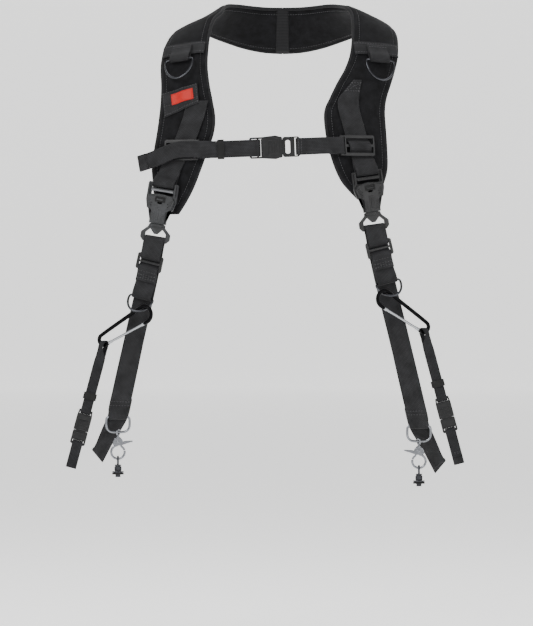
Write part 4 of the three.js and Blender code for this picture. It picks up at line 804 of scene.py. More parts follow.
def edge_line(node, start, end, share, towards=VIEWER):
    """A sewn line along a strap at a share of half its width."""
    frames = STRAPS[node][0]
    a, b = sorted((row_at(node, start), row_at(node, end)))
    return [frames[i][1] + frames[i][2] * share + thread_lift(node, i, towards) for i in range(a, b + 1)]


def box_lines(node, start, end):
    """A sewn box with its two diagonals."""
    frames = STRAPS[node][0]
    a, b = sorted((row_at(node, start), row_at(node, end)))
    lift = thread_lift(node, a, VIEWER)

    def spot(i, share):
        return frames[i][1] + frames[i][2] * share + lift

    return [
        bar_line(node, start), bar_line(node, end),
        edge_line(node, start, end, SEWN_REACH), edge_line(node, start, end, -SEWN_REACH),
        [spot(a, -0.8), spot(b, 0.8)], [spot(a, 0.8), spot(b, -0.8)],
    ]


PAD_LINE_STEPS = 120


def pad_lines(pad):
    """The rows beside the binding, on the front and on the back."""
    lines = []
    for share_sign in (-1, 1):
        for surface, lift in ((pad.front, -0.35), (pad.back, THREAD_LIFT)):
            line = []
            for i in range(PAD_LINE_STEPS + 1):
                t = 0.9 + (pad.last - 0.95) * i / PAD_LINE_STEPS
                half = pad.section(t)[3]
                line.append(surface(t, share_sign * (1 - STITCH_INSET / half), lift))
            lines.append(line)
    return lines


# The row of a pad at which its cross band and D-ring are sewn on.
BAND_ROW = 12
for side, pad in PADS.items():
    sew(f"pad_stitching_{side}", pad_lines(pad))
    band = f"pad_cross_band_{side}"
    length = STRAPS[band][0][-1][0] / MM
    pad_face = pad.section(BAND_ROW)[2]
    sew(f"band_stitching_{side}", [edge_line(band, 2, length - 2, share, pad_face) for share in (-0.7, 0.7)])
    leg = [
        *box_lines(f"main_strap_{side}", 2.5, 8), bar_line(f"main_strap_{side}", 12),
        bar_line(f"main_strap_{side}", -44), bar_line(f"main_strap_{side}", -49),
        bar_line(f"strap_tail_{side}", -4), *box_lines(f"tether_upper_{side}", 26, 36),
        bar_line(f"tether_lower_{side}", 12), bar_line(f"tether_lower_{side}", 15),
        bar_line(f"pad_dring_loop_{side}", -3, pad_face),
    ]
    sew(f"leg_stitching_{side}", leg)
sew("pad_webbing_stitching", box_lines("pad_webbing_right", 4, 16))
sew("chest_stitching", [
    bar_line("chest_strap_left", -4), bar_line("chest_strap_left", -7),
    bar_line("chest_strap_right", 24), bar_line("chest_strap_right", 27),
])


# Moulded buckles, sliders and keepers
# Injection-moulded acetal, satin from the tool, with rounded edges. Each takes its outline from its
# solid, and the ribs, ridges and latches that the solid leaves out stand on it.
def moulded_acetal(name, colour, worn, roughness):
    """Injection-moulded acetal: a fine spark-eroded grain, a little glossier where hands rub it."""
    material, tree, shader = new_material(name)
    place = add_node(tree, "ShaderNodeTexCoord").outputs["Object"]
    rub = add_node(tree, "ShaderNodeTexNoise", {"Vector": place}, Scale=1 / (12 * MM), Detail=5)
    ramp = add_node(tree, "ShaderNodeValToRGB", {"Fac": rub.outputs["Fac"]})
    ramp.color_ramp.elements[0].position = 0.35
    ramp.color_ramp.elements[0].color = tone(colour)
    ramp.color_ramp.elements[1].position = 0.75
    ramp.color_ramp.elements[1].color = tone(worn)
    tree.links.new(ramp.outputs["Color"], shader.inputs["Base Color"])
    gloss = add_node(tree, "ShaderNodeMapRange", {"Value": rub.outputs["Fac"]},
                     To_Min=roughness + 0.08, To_Max=roughness - 0.08)
    tree.links.new(gloss.outputs[0], shader.inputs["Roughness"])
    grain = add_node(tree, "ShaderNodeTexNoise", {"Vector": place}, Scale=1 / (0.7 * MM))
    bump = add_node(tree, "ShaderNodeBump", {"Height": grain.outputs["Fac"]}, Strength=0.12, Distance=0.0002)
    tree.links.new(bump.outputs["Normal"], shader.inputs["Normal"])
    set_inputs(shader, IOR=1.48, Specular_IOR_Level=0.32)
    return material


BLACK_ACETAL = moulded_acetal("moulded_black_acetal", "#0A0A0B", "#161617", 0.4)
GREY_ACETAL = moulded_acetal("moulded_grey_acetal", "#1F2021", "#313234", 0.4)
PALE_ACETAL = moulded_acetal("moulded_pale_grey_acetal", "#5C5D60", "#717276", 0.42)
RUBBER = moulded_acetal("matt_moulded_rubber", "#060606", "#0D0D0D", 0.75)


def place_of(name):
    """The frame of a flat piece: across, up and out of its face as columns, and its half sizes."""
    shape = merged_shape(name)
    areas, lengths = {}, {}
    for face in shape.faces:
        normal = face.normal if face.normal.y < 0 else -face.normal
        key = tuple(round(c, 1) for c in normal)
        area, total = areas.get(key, (0.0, Vector()))
        areas[key] = (area + face.calc_area(), total + normal * face.calc_area())
    out = max(areas.values(), key=lambda pair: pair[0])[1].normalized()
    for edge in shape.edges:
        if edge.calc_face_angle(0.0) < 0.2:
            continue
        line = edge.verts[1].co - edge.verts[0].co
        line = line if line.z > 0 else -line
        if abs(line.normalized().dot(out)) > 0.05 or line.normalized().z < 0.6:
            continue
        key = tuple(round(c, 1) for c in line.normalized())
        length, total = lengths.get(key, (0.0, Vector()))
        lengths[key] = (length + line.length, total + line)
    up = max(lengths.values(), key=lambda pair: pair[0])[1]
    up = (up - out * up.dot(out)).normalized()
    across = up.cross(out)
    turn = Matrix((across, up, out))
    spots = [turn @ v.co for v in shape.verts]
    low = Vector([min(p[k] for p in spots) for k in range(3)])
    high = Vector([max(p[k] for p in spots) for k in range(3)])
    shape.free()
    middle = turn.inverted() @ ((low + high) / 2)
    matrix = turn.inverted().to_4x4()
    matrix.translation = middle
    return matrix, (high - low) / (2 * MM)


def round_edges(piece, width, segments=2):
    """Bevels the sharp edges and evens the shading."""
    bevel = piece.modifiers.new("round_edges", "BEVEL")
    bevel.width = width * MM
    bevel.segments = segments
    bevel.limit_method = "ANGLE"
    bevel.angle_limit = math.radians(28)
    bevel.use_clamp_overlap = True
    even = piece.modifiers.new("even_shading", "WEIGHTED_NORMAL")
    even.keep_sharp = False


def block(matrix, x0, x1, y0, y1, z0, z1, taper):
    """Vertices and faces of a six-sided block in a piece's frame, in millimetres, whose top may
    draw in by the taper."""
    corners = []
    for z, inset in ((z0, 0.0), (z1, taper)):
        for x, y in ((x0 + inset, y0 + inset), (x1 - inset, y0 + inset),
                     (x1 - inset, y1 - inset), (x0 + inset, y1 - inset)):
            corners.append(matrix @ (Vector((x, y, z)) * MM))
    faces = [(3, 2, 1, 0), (4, 5, 6, 7), (0, 1, 5, 4), (1, 2, 6, 5), (2, 3, 7, 6), (3, 0, 4, 7)]
    return corners, faces


def add_shapes(shapes, vertices, faces):
    """Lists of vertices and faces with shapes of (corners, sides) added to them."""
    for corners, sides in shapes:
        faces += [tuple(len(vertices) + i for i in side) for side in sides]
        vertices += corners
    return vertices, faces


def mould(node, material, body="harness", edge=0.35, extras=()):
    """A copy of a solid with rounded edges, joined by its added blocks."""
    shape = merged_shape(node)
    bmesh.ops.dissolve_limit(shape, angle_limit=math.radians(1), verts=shape.verts, edges=shape.edges)
    mesh = bpy.data.meshes.new(f"{node}_moulded")
    shape.to_mesh(mesh)
    shape.free()
    solid = [v.co.copy() for v in mesh.vertices], [tuple(p.vertices) for p in mesh.polygons]
    bpy.data.meshes.remove(mesh)
    vertices, faces = add_shapes(extras, *solid)
    piece = mesh_object(f"{node}_moulded", vertices, faces, material)
    round_edges(piece, edge)
    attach(piece, body)
    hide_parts(node)


def trim(name, material, shapes):
    """Added blocks of another colour, as one piece with rounded edges."""
    piece = mesh_object(name, *add_shapes(shapes, [], []), material)
    round_edges(piece, 0.25)
    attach(piece, "harness")


def round_section(radius, sides=14):
    """A circle of (aside, out) pairs."""
    return [(radius * MM * math.cos(a), radius * MM * math.sin(a))
            for a in (2 * math.pi * k / sides for k in range(sides))]


# Marks and forms on the face of a quick-release buckle's upper half, in millimetres. Sunk window and
# holes, drawn as near-black plates of painted shade: from and to across, and their lower and upper ends
# below the buckle's top.
QR_SHADED_RECESSES = (
    (-6.8, 6.8, 23.6, 17.6), (-11.4, -9.6, 29, 27.4), (9.6, 11.4, 29, 27.4),
    (-11.0, -9.2, 25.6, 24), (9.2, 11.0, 25.6, 24),
)
# Raised forms, with their root below the face, height over it and taper as well: the thumb bar,
# the barrel's ridge and its foot, and the two rails of the frame.
QR_RAISED = (
    (-4.8, 4.8, 21.8, 19.4, 0.4, 0.9, 0.5), (-1.7, 1.7, 45, 31.5, 0.4, 1.3, 0.9),
    (-3.4, 3.4, 49, 29.5, 0.4, 0.5, 0.8), (-17.2, -15.6, 15, 1, 1.2, 0.5, 0.4),
    (15.6, 17.2, 15, 1, 1.2, 0.5, 0.4),
)
# Rows of side ribs: count, drop of the first, pitch, outer end, how much it draws in a rib,
# length, width and height.
QR_RIBS = ((6, 20.5, 2.0, 15.8, 0.4, 4.2, 1.2, 0.55), (5, 35.5, 2.3, 8.8, 0.0, 4.2, 1.3, 0.4))
ARCH_HALF_SPAN, ARCH_DROP, ARCH_RISE, ARCH_WIRE = 15.2, 17.4, 2.9, 0.75


def qr_trim(side, acetal):
    """The latch's sunk window and side holes as near-black plates of painted shade, the arch over it and the
    ladder bar.
    """
    matrix, half = place_of(f"qr_buckle_upper_{side}")
    top, face = half.y, half.z
    # Painted shade: near-black plates stand on the face where the sunk window and holes would fall dark.
    trim(f"qr_latch_window_{side}", RUBBER, [
        block(matrix, x0, x1, top - low, top - high, face - 0.3, face + 0.12, 0.1)
        for x0, x1, low, high in QR_SHADED_RECESSES
    ])
    ladder = PALE_ACETAL if side == "left" else BLACK_ACETAL
    trim(f"qr_ladder_bar_{side}", ladder, [
        block(matrix, -14, 14, top - 11.2, top - 8.2, 0.2, 2.9, 0.5),
        *(block(matrix, x - 0.5, x + 0.5, top - 10.4, top - 9.0, 2.6, 3.3, 0.2)
          for x in (-9, -4.5, 0, 4.5, 9)),
    ])
    arch = []
    for s in (-1 + k / 10 for k in range(21)):
        spot = Vector((ARCH_HALF_SPAN * s, top - ARCH_DROP + ARCH_RISE * (1 - s * s), face + 0.15))
        arch.append(matrix @ (spot * MM))
    out = (matrix.to_3x3() @ Vector((0, 0, 1))).normalized()
    piece = tube(f"qr_arch_{side}", arch, [out] * len(arch), round_section(ARCH_WIRE, 10), acetal)
    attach(piece, "harness")


def qr_upper_details(side):
    """Frame rails, thumb bar, side ribs and barrel ridge of a quick-release buckle's upper half."""
    matrix, half = place_of(f"qr_buckle_upper_{side}")
    top, face = half.y, half.z
    shapes = [
        block(matrix, x0, x1, top - low, top - high, face - root, face + height, taper)
        for x0, x1, low, high, root, height, taper in QR_RAISED
    ]
    for count, drop, pitch, outer, draw, length, width, height in QR_RIBS:
        for k in range(count):
            y = top - drop - pitch * k
            wide = outer - draw * k
            for mirror in (-1, 1):
                x0, x1 = sorted((mirror * wide, mirror * (wide - length)))
                shapes.append(block(matrix, x0, x1, y - width, y, face - 0.4, face + height, 0.3))
    return shapes


def qr_lower_details(side):
    """The wishbone's raised rim and its neck collar."""
    matrix, half = place_of(f"qr_buckle_lower_{side}")
    top, low = half.y, -half.y
    return [
        block(matrix, -9.6, 9.6, top - 3.4, top - 0.6, -3.9, 3.9, 0.5),
        block(matrix, -7.4, 7.4, top - 1.5, top + 3, -2.4, 2.4, 0.2),
        block(matrix, -15, 15, low + 3.1, low + 5.2, 0.5, 2.2, 0.5),
    ]


def glide_details(side):
    """Grip ribs on the ends of the tri-glide's outer bars."""
    matrix, half = place_of(f"tri_glide_{side}")
    low, high = half.z - 0.3, half.z + 0.5
    shapes = [block(matrix, 2 - half.x, half.x - 2, y - 0.7, y + 0.7, low, high, 0.4)
              for y in (half.y - 1.3, 1.3 - half.y)]
    for mirror in (-1, 1):
        x0, x1 = sorted((mirror * half.x, mirror * (half.x - 2.4)))
        shapes += [block(matrix, x0, x1, y - 0.6, y + 0.6, low, high, 0.3) for y in (-2.6, 0, 2.6)]
    return shapes


def chest_details():
    """The female half's raised panel and side latch windows, and the male half's rib."""
    female, half = place_of("chest_buckle_female")
    male, small = place_of("chest_buckle_male")
    x, y, z = half
    panel = [
        block(female, 2.5, x - 3, 5 - y, y - 5, z - 0.3, z + 0.7, 0.9),
        *(block(female, rib, rib + 1.5, 8 - y, y - 8, z + 0.4, z + 1.2, 0.4)
          for rib in (4.5, 7.7, 10.9)),
        block(female, -5.8, -3.4, 3.5 - y, y - 3.5, -1.6, 1.6, 0.3),
    ]
    x, y, z = small
    rib = [
        block(male, x - 2.8, x - 0.6, 2 - y, y - 2, 0.4, z + 0.7, 0.4),
        block(male, -x - 3, 1.2 - x, 3 - y, y - 3, -1.7, 1.7, 0.2),
    ]
    return panel, rib


def tether_details(side):
    """Raised panels on both halves of the tether's small buckle."""
    female, half = place_of(f"tether_buckle_female_{side}")
    male, small = place_of(f"tether_buckle_male_{side}")
    x, y, z = half
    panel = [
        block(female, 3 - x, x - 3, 2 - y, y - 12, z - 0.3, z + 0.6, 0.7),
        *(block(female, 5 - x, x - 5, rib - y, rib + 1.3 - y, z + 0.3, z + 1.0, 0.3)
          for rib in (4.5, 7.5, 10.5)),
    ]
    x, y, z = small
    rib = [
        block(male, 3 - x, x - 3, y - 3.5, y - 1.5, z - 0.3, z + 0.5, 0.4),
        block(male, 3 - x, x - 3, y - 1, y + 2.5, -1.5, 1.5, 0.2),
    ]
    return panel, rib


female_panel, male_rib = chest_details()
mould("chest_buckle_female", BLACK_ACETAL, extras=female_panel)
mould("chest_buckle_male", BLACK_ACETAL, extras=male_rib)
mould("chest_keeper", RUBBER, edge=0.3)
for side in SIDES:
    acetal, finish = (GREY_ACETAL, "grey_plastic") if side == "left" else (BLACK_ACETAL, "black_plastic")
    mould(f"qr_buckle_upper_{side}", acetal, edge=0.6, extras=qr_upper_details(side))
    mould(f"qr_buckle_lower_{side}", acetal, edge=0.6, extras=qr_lower_details(side))
    qr_trim(side, acetal)
    mould(f"tri_glide_{side}", BLACK_ACETAL, edge=0.4, extras=glide_details(side))
    mould(f"chest_slider_{side}", BLACK_ACETAL, edge=0.45)
    female_panel, male_rib = tether_details(side)
    mould(f"tether_buckle_female_{side}", BLACK_ACETAL, extras=female_panel)
    mould(f"tether_buckle_male_{side}", BLACK_ACETAL, extras=male_rib)
    mould(f"tether_keeper_{side}", RUBBER, edge=0.3)


# Rings, carabiners and gates
# Bent steel and aluminium rod: chromed hip rings, dark plated D-rings, black anodised carabiners
# with a brushed silver gate that turns on a pin.
def bright_metal(name, colour, roughness, grain_size, grain):
    """A metal surface whose finish varies a little, as plating or brushing does."""
    material, tree, shader = new_material(name)
    place = add_node(tree, "ShaderNodeTexCoord").outputs["Object"]
    stretch = add_node(tree, "ShaderNodeMapping", {"Vector": place}, Scale=(1, 1, 0.25))
    marks = add_node(tree, "ShaderNodeTexNoise", {"Vector": stretch.outputs[0]}, Scale=1 / (grain_size * MM),
                     Detail=4)
    gloss = add_node(tree, "ShaderNodeMapRange", {"Value": marks.outputs["Fac"]},
                     To_Min=max(roughness - grain, 0.03), To_Max=roughness + grain)
    tree.links.new(gloss.outputs[0], shader.inputs["Roughness"])
    shade = add_node(tree, "ShaderNodeValToRGB", {"Fac": marks.outputs["Fac"]})
    light = tone(colour)
    shade.color_ramp.elements[0].color = (light[0] * 0.78, light[1] * 0.78, light[2] * 0.8, 1)
    shade.color_ramp.elements[1].color = light
    tree.links.new(shade.outputs["Color"], shader.inputs["Base Color"])
    bump = add_node(tree, "ShaderNodeBump", {"Height": marks.outputs["Fac"]}, Strength=0.06, Distance=0.0002)
    tree.links.new(bump.outputs["Normal"], shader.inputs["Normal"])
    set_inputs(shader, Metallic=1.0)
    return material


CHROME = bright_metal("polished_chrome_plate", "#7F8185", 0.12, 5, 0.05)
DARK_PLATE = bright_metal("dark_nickel_plate", "#414245", 0.24, 4, 0.08)
BLACK_ANODISED = bright_metal("black_anodised_aluminium", "#131314", 0.34, 3, 0.08)
SILVER = bright_metal("brushed_aluminium", "#A9ABAE", 0.26, 1.5, 0.1)


def swell(shape, amount):
    """Pushes a coarse wire outwards, because smoothing draws its eight sides in."""
    shape.normal_update()
    for vertex in shape.verts:
        vertex.co += vertex.normal * amount


def rod(node, radius, material, body="harness"):
    """A bent rod made smooth from its solid, with crisp ends where it is open."""
    shape = merged_shape(node)
    bmesh.ops.join_triangles(
        shape, faces=shape.faces, angle_face_threshold=math.radians(30),
        angle_shape_threshold=math.radians(60),
    )
    swell(shape, 0.085 * radius * MM)
    crease = shape.edges.layers.float.new("crease_edge")
    for edge in shape.edges:
        if edge.calc_face_angle(0.0) > math.radians(70):
            edge[crease] = 0.7
    mesh = bpy.data.meshes.new(f"{node}_rod")
    shape.to_mesh(mesh)
    shape.free()
    mesh.polygons.foreach_set("use_smooth", [True] * len(mesh.polygons))
    mesh.materials.append(material)
    piece = new_object(f"{node}_rod", mesh)
    smooth = piece.modifiers.new("smooth", "SUBSURF")
    smooth.levels = smooth.render_levels = 2
    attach(piece, body)
    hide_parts(node)


def turned(name, start, axis, profile, material, body, sides=28):
    """A turned piece: (radius, distance along the axis) pairs spun round the axis, in millimetres."""
    axis = axis.normalized()
    aside = axis.orthogonal().normalized()
    other = axis.cross(aside)
    vertices = []
    for radius, along in profile:
        for k in range(sides):
            angle = 2 * math.pi * k / sides
            vertices.append(start + (axis * along + aside * radius * math.cos(angle)
                                     + other * radius * math.sin(angle)) * MM)
    piece = mesh_object(name, vertices, ring_faces(len(profile), sides), material)
    outward_faces(piece)
    round_edges(piece, 0.2)
    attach(piece, body)
    return piece


def gate_line(side):
    """The two ends of a gate's solid: its hinge is the end nearer the leg."""
    shape = merged_shape(f"carabiner_gate_{side}")
    spots = [v.co.copy() for v in shape.verts]
    shape.free()
    ends = sorted(spots, key=lambda p: p.z)
    low = sum(ends[:GATE_SIDES], Vector()) / GATE_SIDES
    high = sum(ends[GATE_SIDES:], Vector()) / GATE_SIDES
    return high, low


GATE_SIDES = 8
GATE_RADIUS = 1.9
HIP_RING_WIRE = 1.5
DRING_WIRE = 1.4
CARABINER_WIRE = 2.4
for side in SIDES:
    rod(f"hip_ring_{side}", HIP_RING_WIRE, CHROME)
    rod(f"pad_dring_{side}", DRING_WIRE, DARK_PLATE, body=f"pad_ring_{side}")
    rod(f"lower_dring_{side}", DRING_WIRE, DARK_PLATE)
    rod(f"carabiner_body_{side}", CARABINER_WIRE, BLACK_ANODISED)
    hinge, nose = gate_line(side)
    length = (nose - hinge).length / MM
    gate = turned(
        f"carabiner_gate_{side}_turned", hinge, nose - hinge,
        [(GATE_RADIUS - 0.4, 0), (GATE_RADIUS, 0.5), (GATE_RADIUS, 4), (GATE_RADIUS - 0.35, 4.6),
         (GATE_RADIUS - 0.35, length - 5.6), (GATE_RADIUS, length - 5), (GATE_RADIUS, length - 0.5),
         (GATE_RADIUS - 0.4, length)],
        SILVER, f"gate_{side}",
    )
    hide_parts(f"carabiner_gate_{side}")


# Camera hooks and studs
# Cast and chromed swivel hooks: an eye on the hip ring, a riveted body, a ring closed by a sprung
# trigger, and under it a dark steel stud whose knurled collar screws into the camera.
EYE_RADIUS = 3.5
EYE_WIRE = 1.2
EYE_TURN = 20
HOOK_RING_RADIUS = 8
HOOK_RING_WIRE = 1.3
HOOK_HALF_WIDTH = 6.2
HOOK_HALF_DEPTH = 3.2
STUD_RADIUS = 4
STUD_THREAD = 5.5
STUD_FLANGE = 1.6
STUD_COLLAR = 8
BAIL_RADIUS = 3.1
BAIL_WIRE = 1.2
KNURL_TEETH = 26


def hang(side):
    """The middle of the hip ring's lower wire."""
    low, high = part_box(f"hip_ring_{side}")
    return Vector(((low.x + high.x) / 2, (low.y + high.y) / 2, low.z + HIP_RING_WIRE * MM))


def local(origin, x, y, z):
    """A point from across, up and towards the viewer, in millimetres."""
    return origin + Vector((x, -z, y)) * MM


def ring_path(origin, radius, centre_y, start, end, steps, flat=(1.0, 0.0)):
    """Points of an arc whose across direction lies at flat = (x, z)."""
    path = []
    for i in range(steps + 1):
        a = math.radians(start + (end - start) * i / steps)
        path.append(local(origin, radius * math.cos(a) * flat[0], centre_y + radius * math.sin(a),
                          radius * math.cos(a) * flat[1]))
    return path


def joined(name, pieces, body, slot, *replaced):
    """Joins pieces of one fitting into one mesh."""
    graph = bpy.context.evaluated_depsgraph_get()
    whole = bmesh.new()
    for piece in pieces:
        made = bpy.data.meshes.new_from_object(piece.evaluated_get(graph))
        whole.from_mesh(made)
        bpy.data.meshes.remove(made)
    mesh = bpy.data.meshes.new(name)
    whole.to_mesh(mesh)
    whole.free()
    mesh.materials.append(pieces[0].data.materials[0])
    mesh.polygons.foreach_set("use_smooth", [True] * len(mesh.polygons))
    result = new_object(name, mesh)
    for piece in pieces:
        bpy.data.objects.remove(piece)
    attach(result, body)
    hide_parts(*replaced)


def plain_turned(name, start, axis, profile, material, sides=28):
    """A turned shape before it is joined to others."""
    piece = turned(name, start, axis, profile, material, "harness", sides)
    piece.parent = None
    return piece


def build_hook(side, sign):
    """The eye with its shank, and the hook's riveted shell with collar, ring and trigger."""
    origin = hang(side)
    eye_drop = EYE_RADIUS - EYE_WIRE - HIP_RING_WIRE - 0.3
    down, out = Vector((0, 0, -1)), Vector((0, -1, 0))
    turn = math.radians(90 - EYE_TURN) * sign
    flat = (math.cos(turn), math.sin(turn))
    loop_points = ring_path(origin, EYE_RADIUS, -eye_drop, 0, 348.75, 31, flat)
    loop = tube("eye_loop", loop_points, [Vector((-flat[1], -flat[0], 0))] * 32,
                round_section(EYE_WIRE), CHROME, closed=True)
    shank = plain_turned("eye_shank", local(origin, 0, -eye_drop - EYE_RADIUS, 0), down, [
        (1.5, 0), (1.6, 1), (1.6, 4.6), (1.2, 4.8),
    ], CHROME)
    joined(f"swivel_eye_{side}", [loop, shank], f"eye_{side}", "chrome", f"hook_eye_{side}")

    low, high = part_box(f"hook_body_{side}")
    body_top = (origin.z - high.z) / MM
    ring_y = (origin.z - low.z) / MM - HOOK_RING_WIRE - HOOK_RING_RADIUS
    body_low = ring_y - HOOK_RING_RADIUS - HOOK_RING_WIRE + 1.6
    collar = plain_turned("hook_collar", local(origin, 0, -body_top, 0), down, [
        (2.1, 0.0), (3.0, 0.3), (3.2, 1.6), (3.0, 2.6), (2.1, 2.7),
    ], CHROME)
    waist, wide = 0.72 * HOOK_HALF_WIDTH, HOOK_HALF_WIDTH
    outline = [
        (-0.55 * wide, -body_top - 1.2), (0.55 * wide, -body_top - 1.2), (waist + 0.9, -body_top - 3.4),
        (wide, -body_top - 6.2), (wide, -body_low + 1.6), (0.75 * wide, -body_low),
        (-0.75 * wide, -body_low), (-wide, -body_low + 1.6), (-wide, -body_top - 6.2),
        (-waist - 0.9, -body_top - 3.4),
    ]
    vertices = [local(origin, x, y, z) for z in (-HOOK_HALF_DEPTH, HOOK_HALF_DEPTH) for x, y in outline]
    n = len(outline)
    faces = [tuple(range(n)), tuple(n + i for i in range(n))]
    faces += [(i, (i + 1) % n, n + (i + 1) % n, n + i) for i in range(n)]
    shell = mesh_object("hook_shell", vertices, faces, CHROME)
    outward_faces(shell)
    round_edges(shell, 1.3, 4)
    ring_points = ring_path(origin, HOOK_RING_RADIUS, -ring_y, 92, 372, 40)
    if sign > 0:
        ring_points = [Vector((2 * origin.x - p.x, p.y, p.z)) for p in ring_points]
    ring = tube("hook_ring", ring_points, [out] * 41, round_section(HOOK_RING_WIRE + 0.05), CHROME)
    rivet = plain_turned("hook_rivet", local(origin, 0, -body_top - 6.2, HOOK_HALF_DEPTH - 0.4), out, [
        (1.9, 0), (1.9, 0.5), (1.2, 0.95), (0.4, 1.05),
    ], CHROME)
    joined(f"swivel_hook_{side}", [shell, collar, ring, rivet], f"hook_{side}", "chrome",
           f"hook_body_{side}")
    mould(f"hook_trigger_{side}", CHROME, body=f"trigger_{side}", edge=0.5)


def build_stud(side):
    """Bail, knurled collar, flange and thread."""
    origin = hang(side)
    low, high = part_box(f"camera_stud_{side}")
    top = (origin.z - high.z) / MM
    bottom = (origin.z - low.z) / MM
    down = Vector((0, 0, -1))
    centre = -(top + BAIL_WIRE) - BAIL_RADIUS
    path = ring_path(origin, BAIL_RADIUS, centre, 0, 180, 14, (0.0, 1.0))
    path += [local(origin, 0, centre - drop, share * BAIL_RADIUS)
             for drop, share in ((3.5, -1), (5.4, -0.7), (5.4, 0.7), (3.5, 1))]
    bail = tube("stud_bail", path, [Vector((1, 0, 0))] * len(path), round_section(BAIL_WIRE),
                DARK_PLATE, closed=True)
    post_top = bottom - STUD_THREAD - STUD_FLANGE - STUD_COLLAR
    start = local(origin, 0, -post_top, 0)
    post = plain_turned("stud_post", start, down, [
        (STUD_RADIUS - 0.9, 0), (STUD_RADIUS - 0.1, 0.7), (STUD_RADIUS - 0.1, 1.7),
        (STUD_RADIUS - 0.6, 1.9), (STUD_RADIUS - 0.6, 2.3), (STUD_RADIUS - 0.05, 2.5),
        (STUD_RADIUS - 0.05, 7.6), (STUD_RADIUS - 0.5, 8.0), (6.6, 8.0), (7, 8.3), (7, 9.3), (6.7, 9.6),
        (3, 9.6), (3, 15.0), (2.6, 15.1),
    ], DARK_PLATE, sides=40)
    teeth = []
    for k in range(KNURL_TEETH):
        angle = 2 * math.pi * k / KNURL_TEETH
        across = Vector((math.cos(angle), math.sin(angle), 0))
        matrix = Matrix((across.cross(down), -down, across)).transposed().to_4x4()
        matrix.translation = start + down * 5.05 * MM
        teeth.append(block(matrix, -0.28, 0.28, -2.3, 2.3, STUD_RADIUS - 0.4, STUD_RADIUS + 0.3, 0.12))
    knurl = mesh_object("stud_knurl", *add_shapes(teeth, [], []), DARK_PLATE, smooth=False)
    outward_faces(knurl)
    turns = []
    for k in range(61):
        a = 2 * math.pi * k / 12
        turns.append(start + Vector((2.95 * math.cos(a), 2.95 * math.sin(a), -10.1 - 0.9 * k / 12)) * MM)
    thread = tube("stud_thread", turns, [down] * 61, round_section(0.3, 6), DARK_PLATE)
    joined(f"camera_stud_{side}_turned", [post, bail, knurl, thread], f"stud_{side}", "dark_metal",
           f"camera_stud_{side}")
    mould(f"stud_washer_{side}", RUBBER, body=f"stud_{side}", edge=0.3)


for side, sign in SIDES.items():
    build_hook(side, sign)
    build_stud(side)


# Label patch
# A patch of wide webbing sewn over the top of the left pad's webbing, with a soft orange-red
# rubber label moulded with a raised rim and welded on its upper half. Both are bare.
LABEL_START = 11.2
LABEL_WIDTH = 29.0
LABEL_HEIGHT = 13.8
LABEL_TOP_GAP = 4.6
# The face's relief: distances in from the label's edge with the height there.
LABEL_RELIEF = ((0.0, -0.2), (0.1, 0.6), (0.35, 0.95), (1.0, 0.95), (1.3, 0.6))
# The patch's stitching: its inset from the ends and the top, the line under the label, and the
# lower line, which rises from the outer end to the inner one.
PATCH_EDGE = 1.3
PATCH_TOP = 1.0
PATCH_MIDDLE = 17.2
PATCH_OUTER_LOW = 28.5
PATCH_INNER_LOW = 22.5
PATCH_LINE_STEPS = 16


def label_rubber():
    """Soft moulded PVC: even orange-red with a faint mottle and a satin face."""
    material, tree, shader = new_material("soft_orange_rubber")
    place = add_node(tree, "ShaderNodeTexCoord").outputs["Object"]
    mottle = add_node(tree, "ShaderNodeTexNoise", {"Vector": place}, Scale=1 / (4 * MM), Detail=4)
    ramp = add_node(tree, "ShaderNodeValToRGB", {"Fac": mottle.outputs["Fac"]})
    ramp.color_ramp.elements[0].color = tone("#980A00")
    ramp.color_ramp.elements[1].color = tone("#AE1402")
    tree.links.new(ramp.outputs["Color"], shader.inputs["Base Color"])
    grain = add_node(tree, "ShaderNodeTexNoise", {"Vector": place}, Scale=1 / (0.8 * MM))
    bump = add_node(tree, "ShaderNodeBump", {"Height": grain.outputs["Fac"]}, Strength=0.15, Distance=0.0002)
    tree.links.new(bump.outputs["Normal"], shader.inputs["Normal"])
    set_inputs(shader, Roughness=0.55, Specular_IOR_Level=0.3)
    return material


LABEL = label_rubber()


def on_patch(across, below_top, lift):
    """A point on the patch's face: millimetres in from its outer end, below its top edge, and out."""
    frames, thickness = STRAPS["label_patch"]
    total = frames[-1][0]
    outer_first = frames[0][1].x < frames[-1][1].x
    run = across * MM if outer_first else total - across * MM
    i = min(max(k for k, row in enumerate(frames) if row[0] <= max(run, 0)), len(frames) - 2)
    f = (run - frames[i][0]) / (frames[i + 1][0] - frames[i][0])
    middle = frames[i][1].lerp(frames[i + 1][1], f)
    half = frames[i][2].lerp(frames[i + 1][2], f)
    half = half if half.z > 0 else -half
    normal = facing(frames, i, VIEWER).lerp(facing(frames, i + 1, VIEWER), f).normalized()
    up = half.length - below_top * MM
    return middle + half.normalized() * up + normal * (0.5 * thickness + lift) * MM


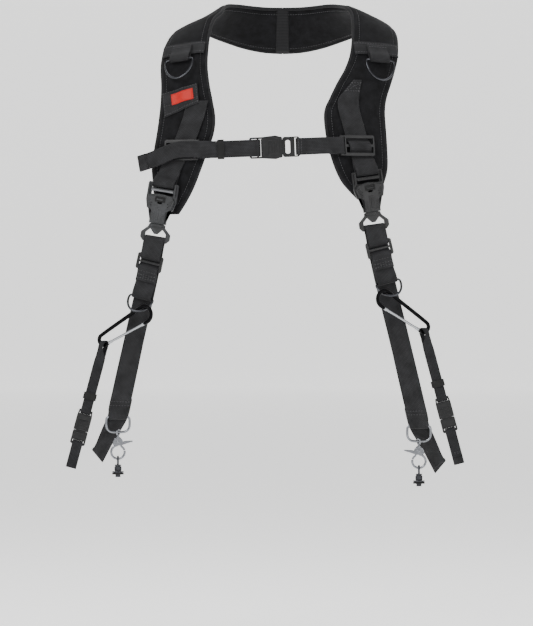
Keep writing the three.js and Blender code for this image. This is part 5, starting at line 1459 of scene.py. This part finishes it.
def label_stops(length):
    """Places across a side of the label: close together at the rim, even between."""
    rim = [inset for inset, _ in LABEL_RELIEF]
    inner = [rim[-1] + (length - 2 * rim[-1]) * k / 12 for k in range(1, 12)]
    return rim + inner + [length - inset for inset in reversed(rim)]


def label_height(inset):
    """The height of the face at a distance in from the label's edge."""
    for (a, low), (b, high) in zip(LABEL_RELIEF, LABEL_RELIEF[1:]):
        if inset <= b:
            return low + (high - low) * (inset - a) / (b - a)
    return LABEL_RELIEF[-1][1]


def build_label():
    """The label's moulded face and its flat back, joined at the rim."""
    columns, rows = label_stops(LABEL_WIDTH), label_stops(LABEL_HEIGHT)
    vertices, faces = [], []
    for face_up in (True, False):
        first = len(vertices)
        for x in columns:
            for y in rows:
                inset = min(x, LABEL_WIDTH - x, y, LABEL_HEIGHT - y)
                height = label_height(inset) if face_up else LABEL_RELIEF[0][1]
                vertices.append(on_patch(LABEL_START + x, LABEL_TOP_GAP + y, height))
        size = len(rows)
        for i in range(len(columns) - 1):
            for j in range(size - 1):
                a = first + i * size + j
                faces.append((a, a + 1, a + size + 1, a + size))
    label = mesh_object("orange_label", vertices, faces, LABEL)
    shape = bmesh.new()
    shape.from_mesh(label.data)
    bmesh.ops.remove_doubles(shape, verts=shape.verts, dist=1e-6)
    bmesh.ops.recalc_face_normals(shape, faces=shape.faces)
    shape.to_mesh(label.data)
    shape.free()
    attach(label, "harness")


def patch_line(start, end):
    """A sewn line between two places on the patch."""
    line = []
    for k in range(PATCH_LINE_STEPS + 1):
        across, below_top = Vector(start).lerp(Vector(end), k / PATCH_LINE_STEPS)
        line.append(on_patch(across, below_top, THREAD_LIFT))
    return line


build_label()
outer, inner = PATCH_EDGE, STRAPS["label_patch"][0][-1][0] / MM - PATCH_EDGE
sew("patch_stitching", [
    patch_line((outer, PATCH_TOP), (inner, PATCH_TOP)),
    patch_line((outer, PATCH_OUTER_LOW), (inner, PATCH_INNER_LOW)),
    patch_line((outer, PATCH_TOP), (outer, PATCH_OUTER_LOW)),
    patch_line((inner, PATCH_TOP), (inner, PATCH_INNER_LOW)),
    patch_line((outer, PATCH_MIDDLE), (inner, PATCH_MIDDLE)),
])
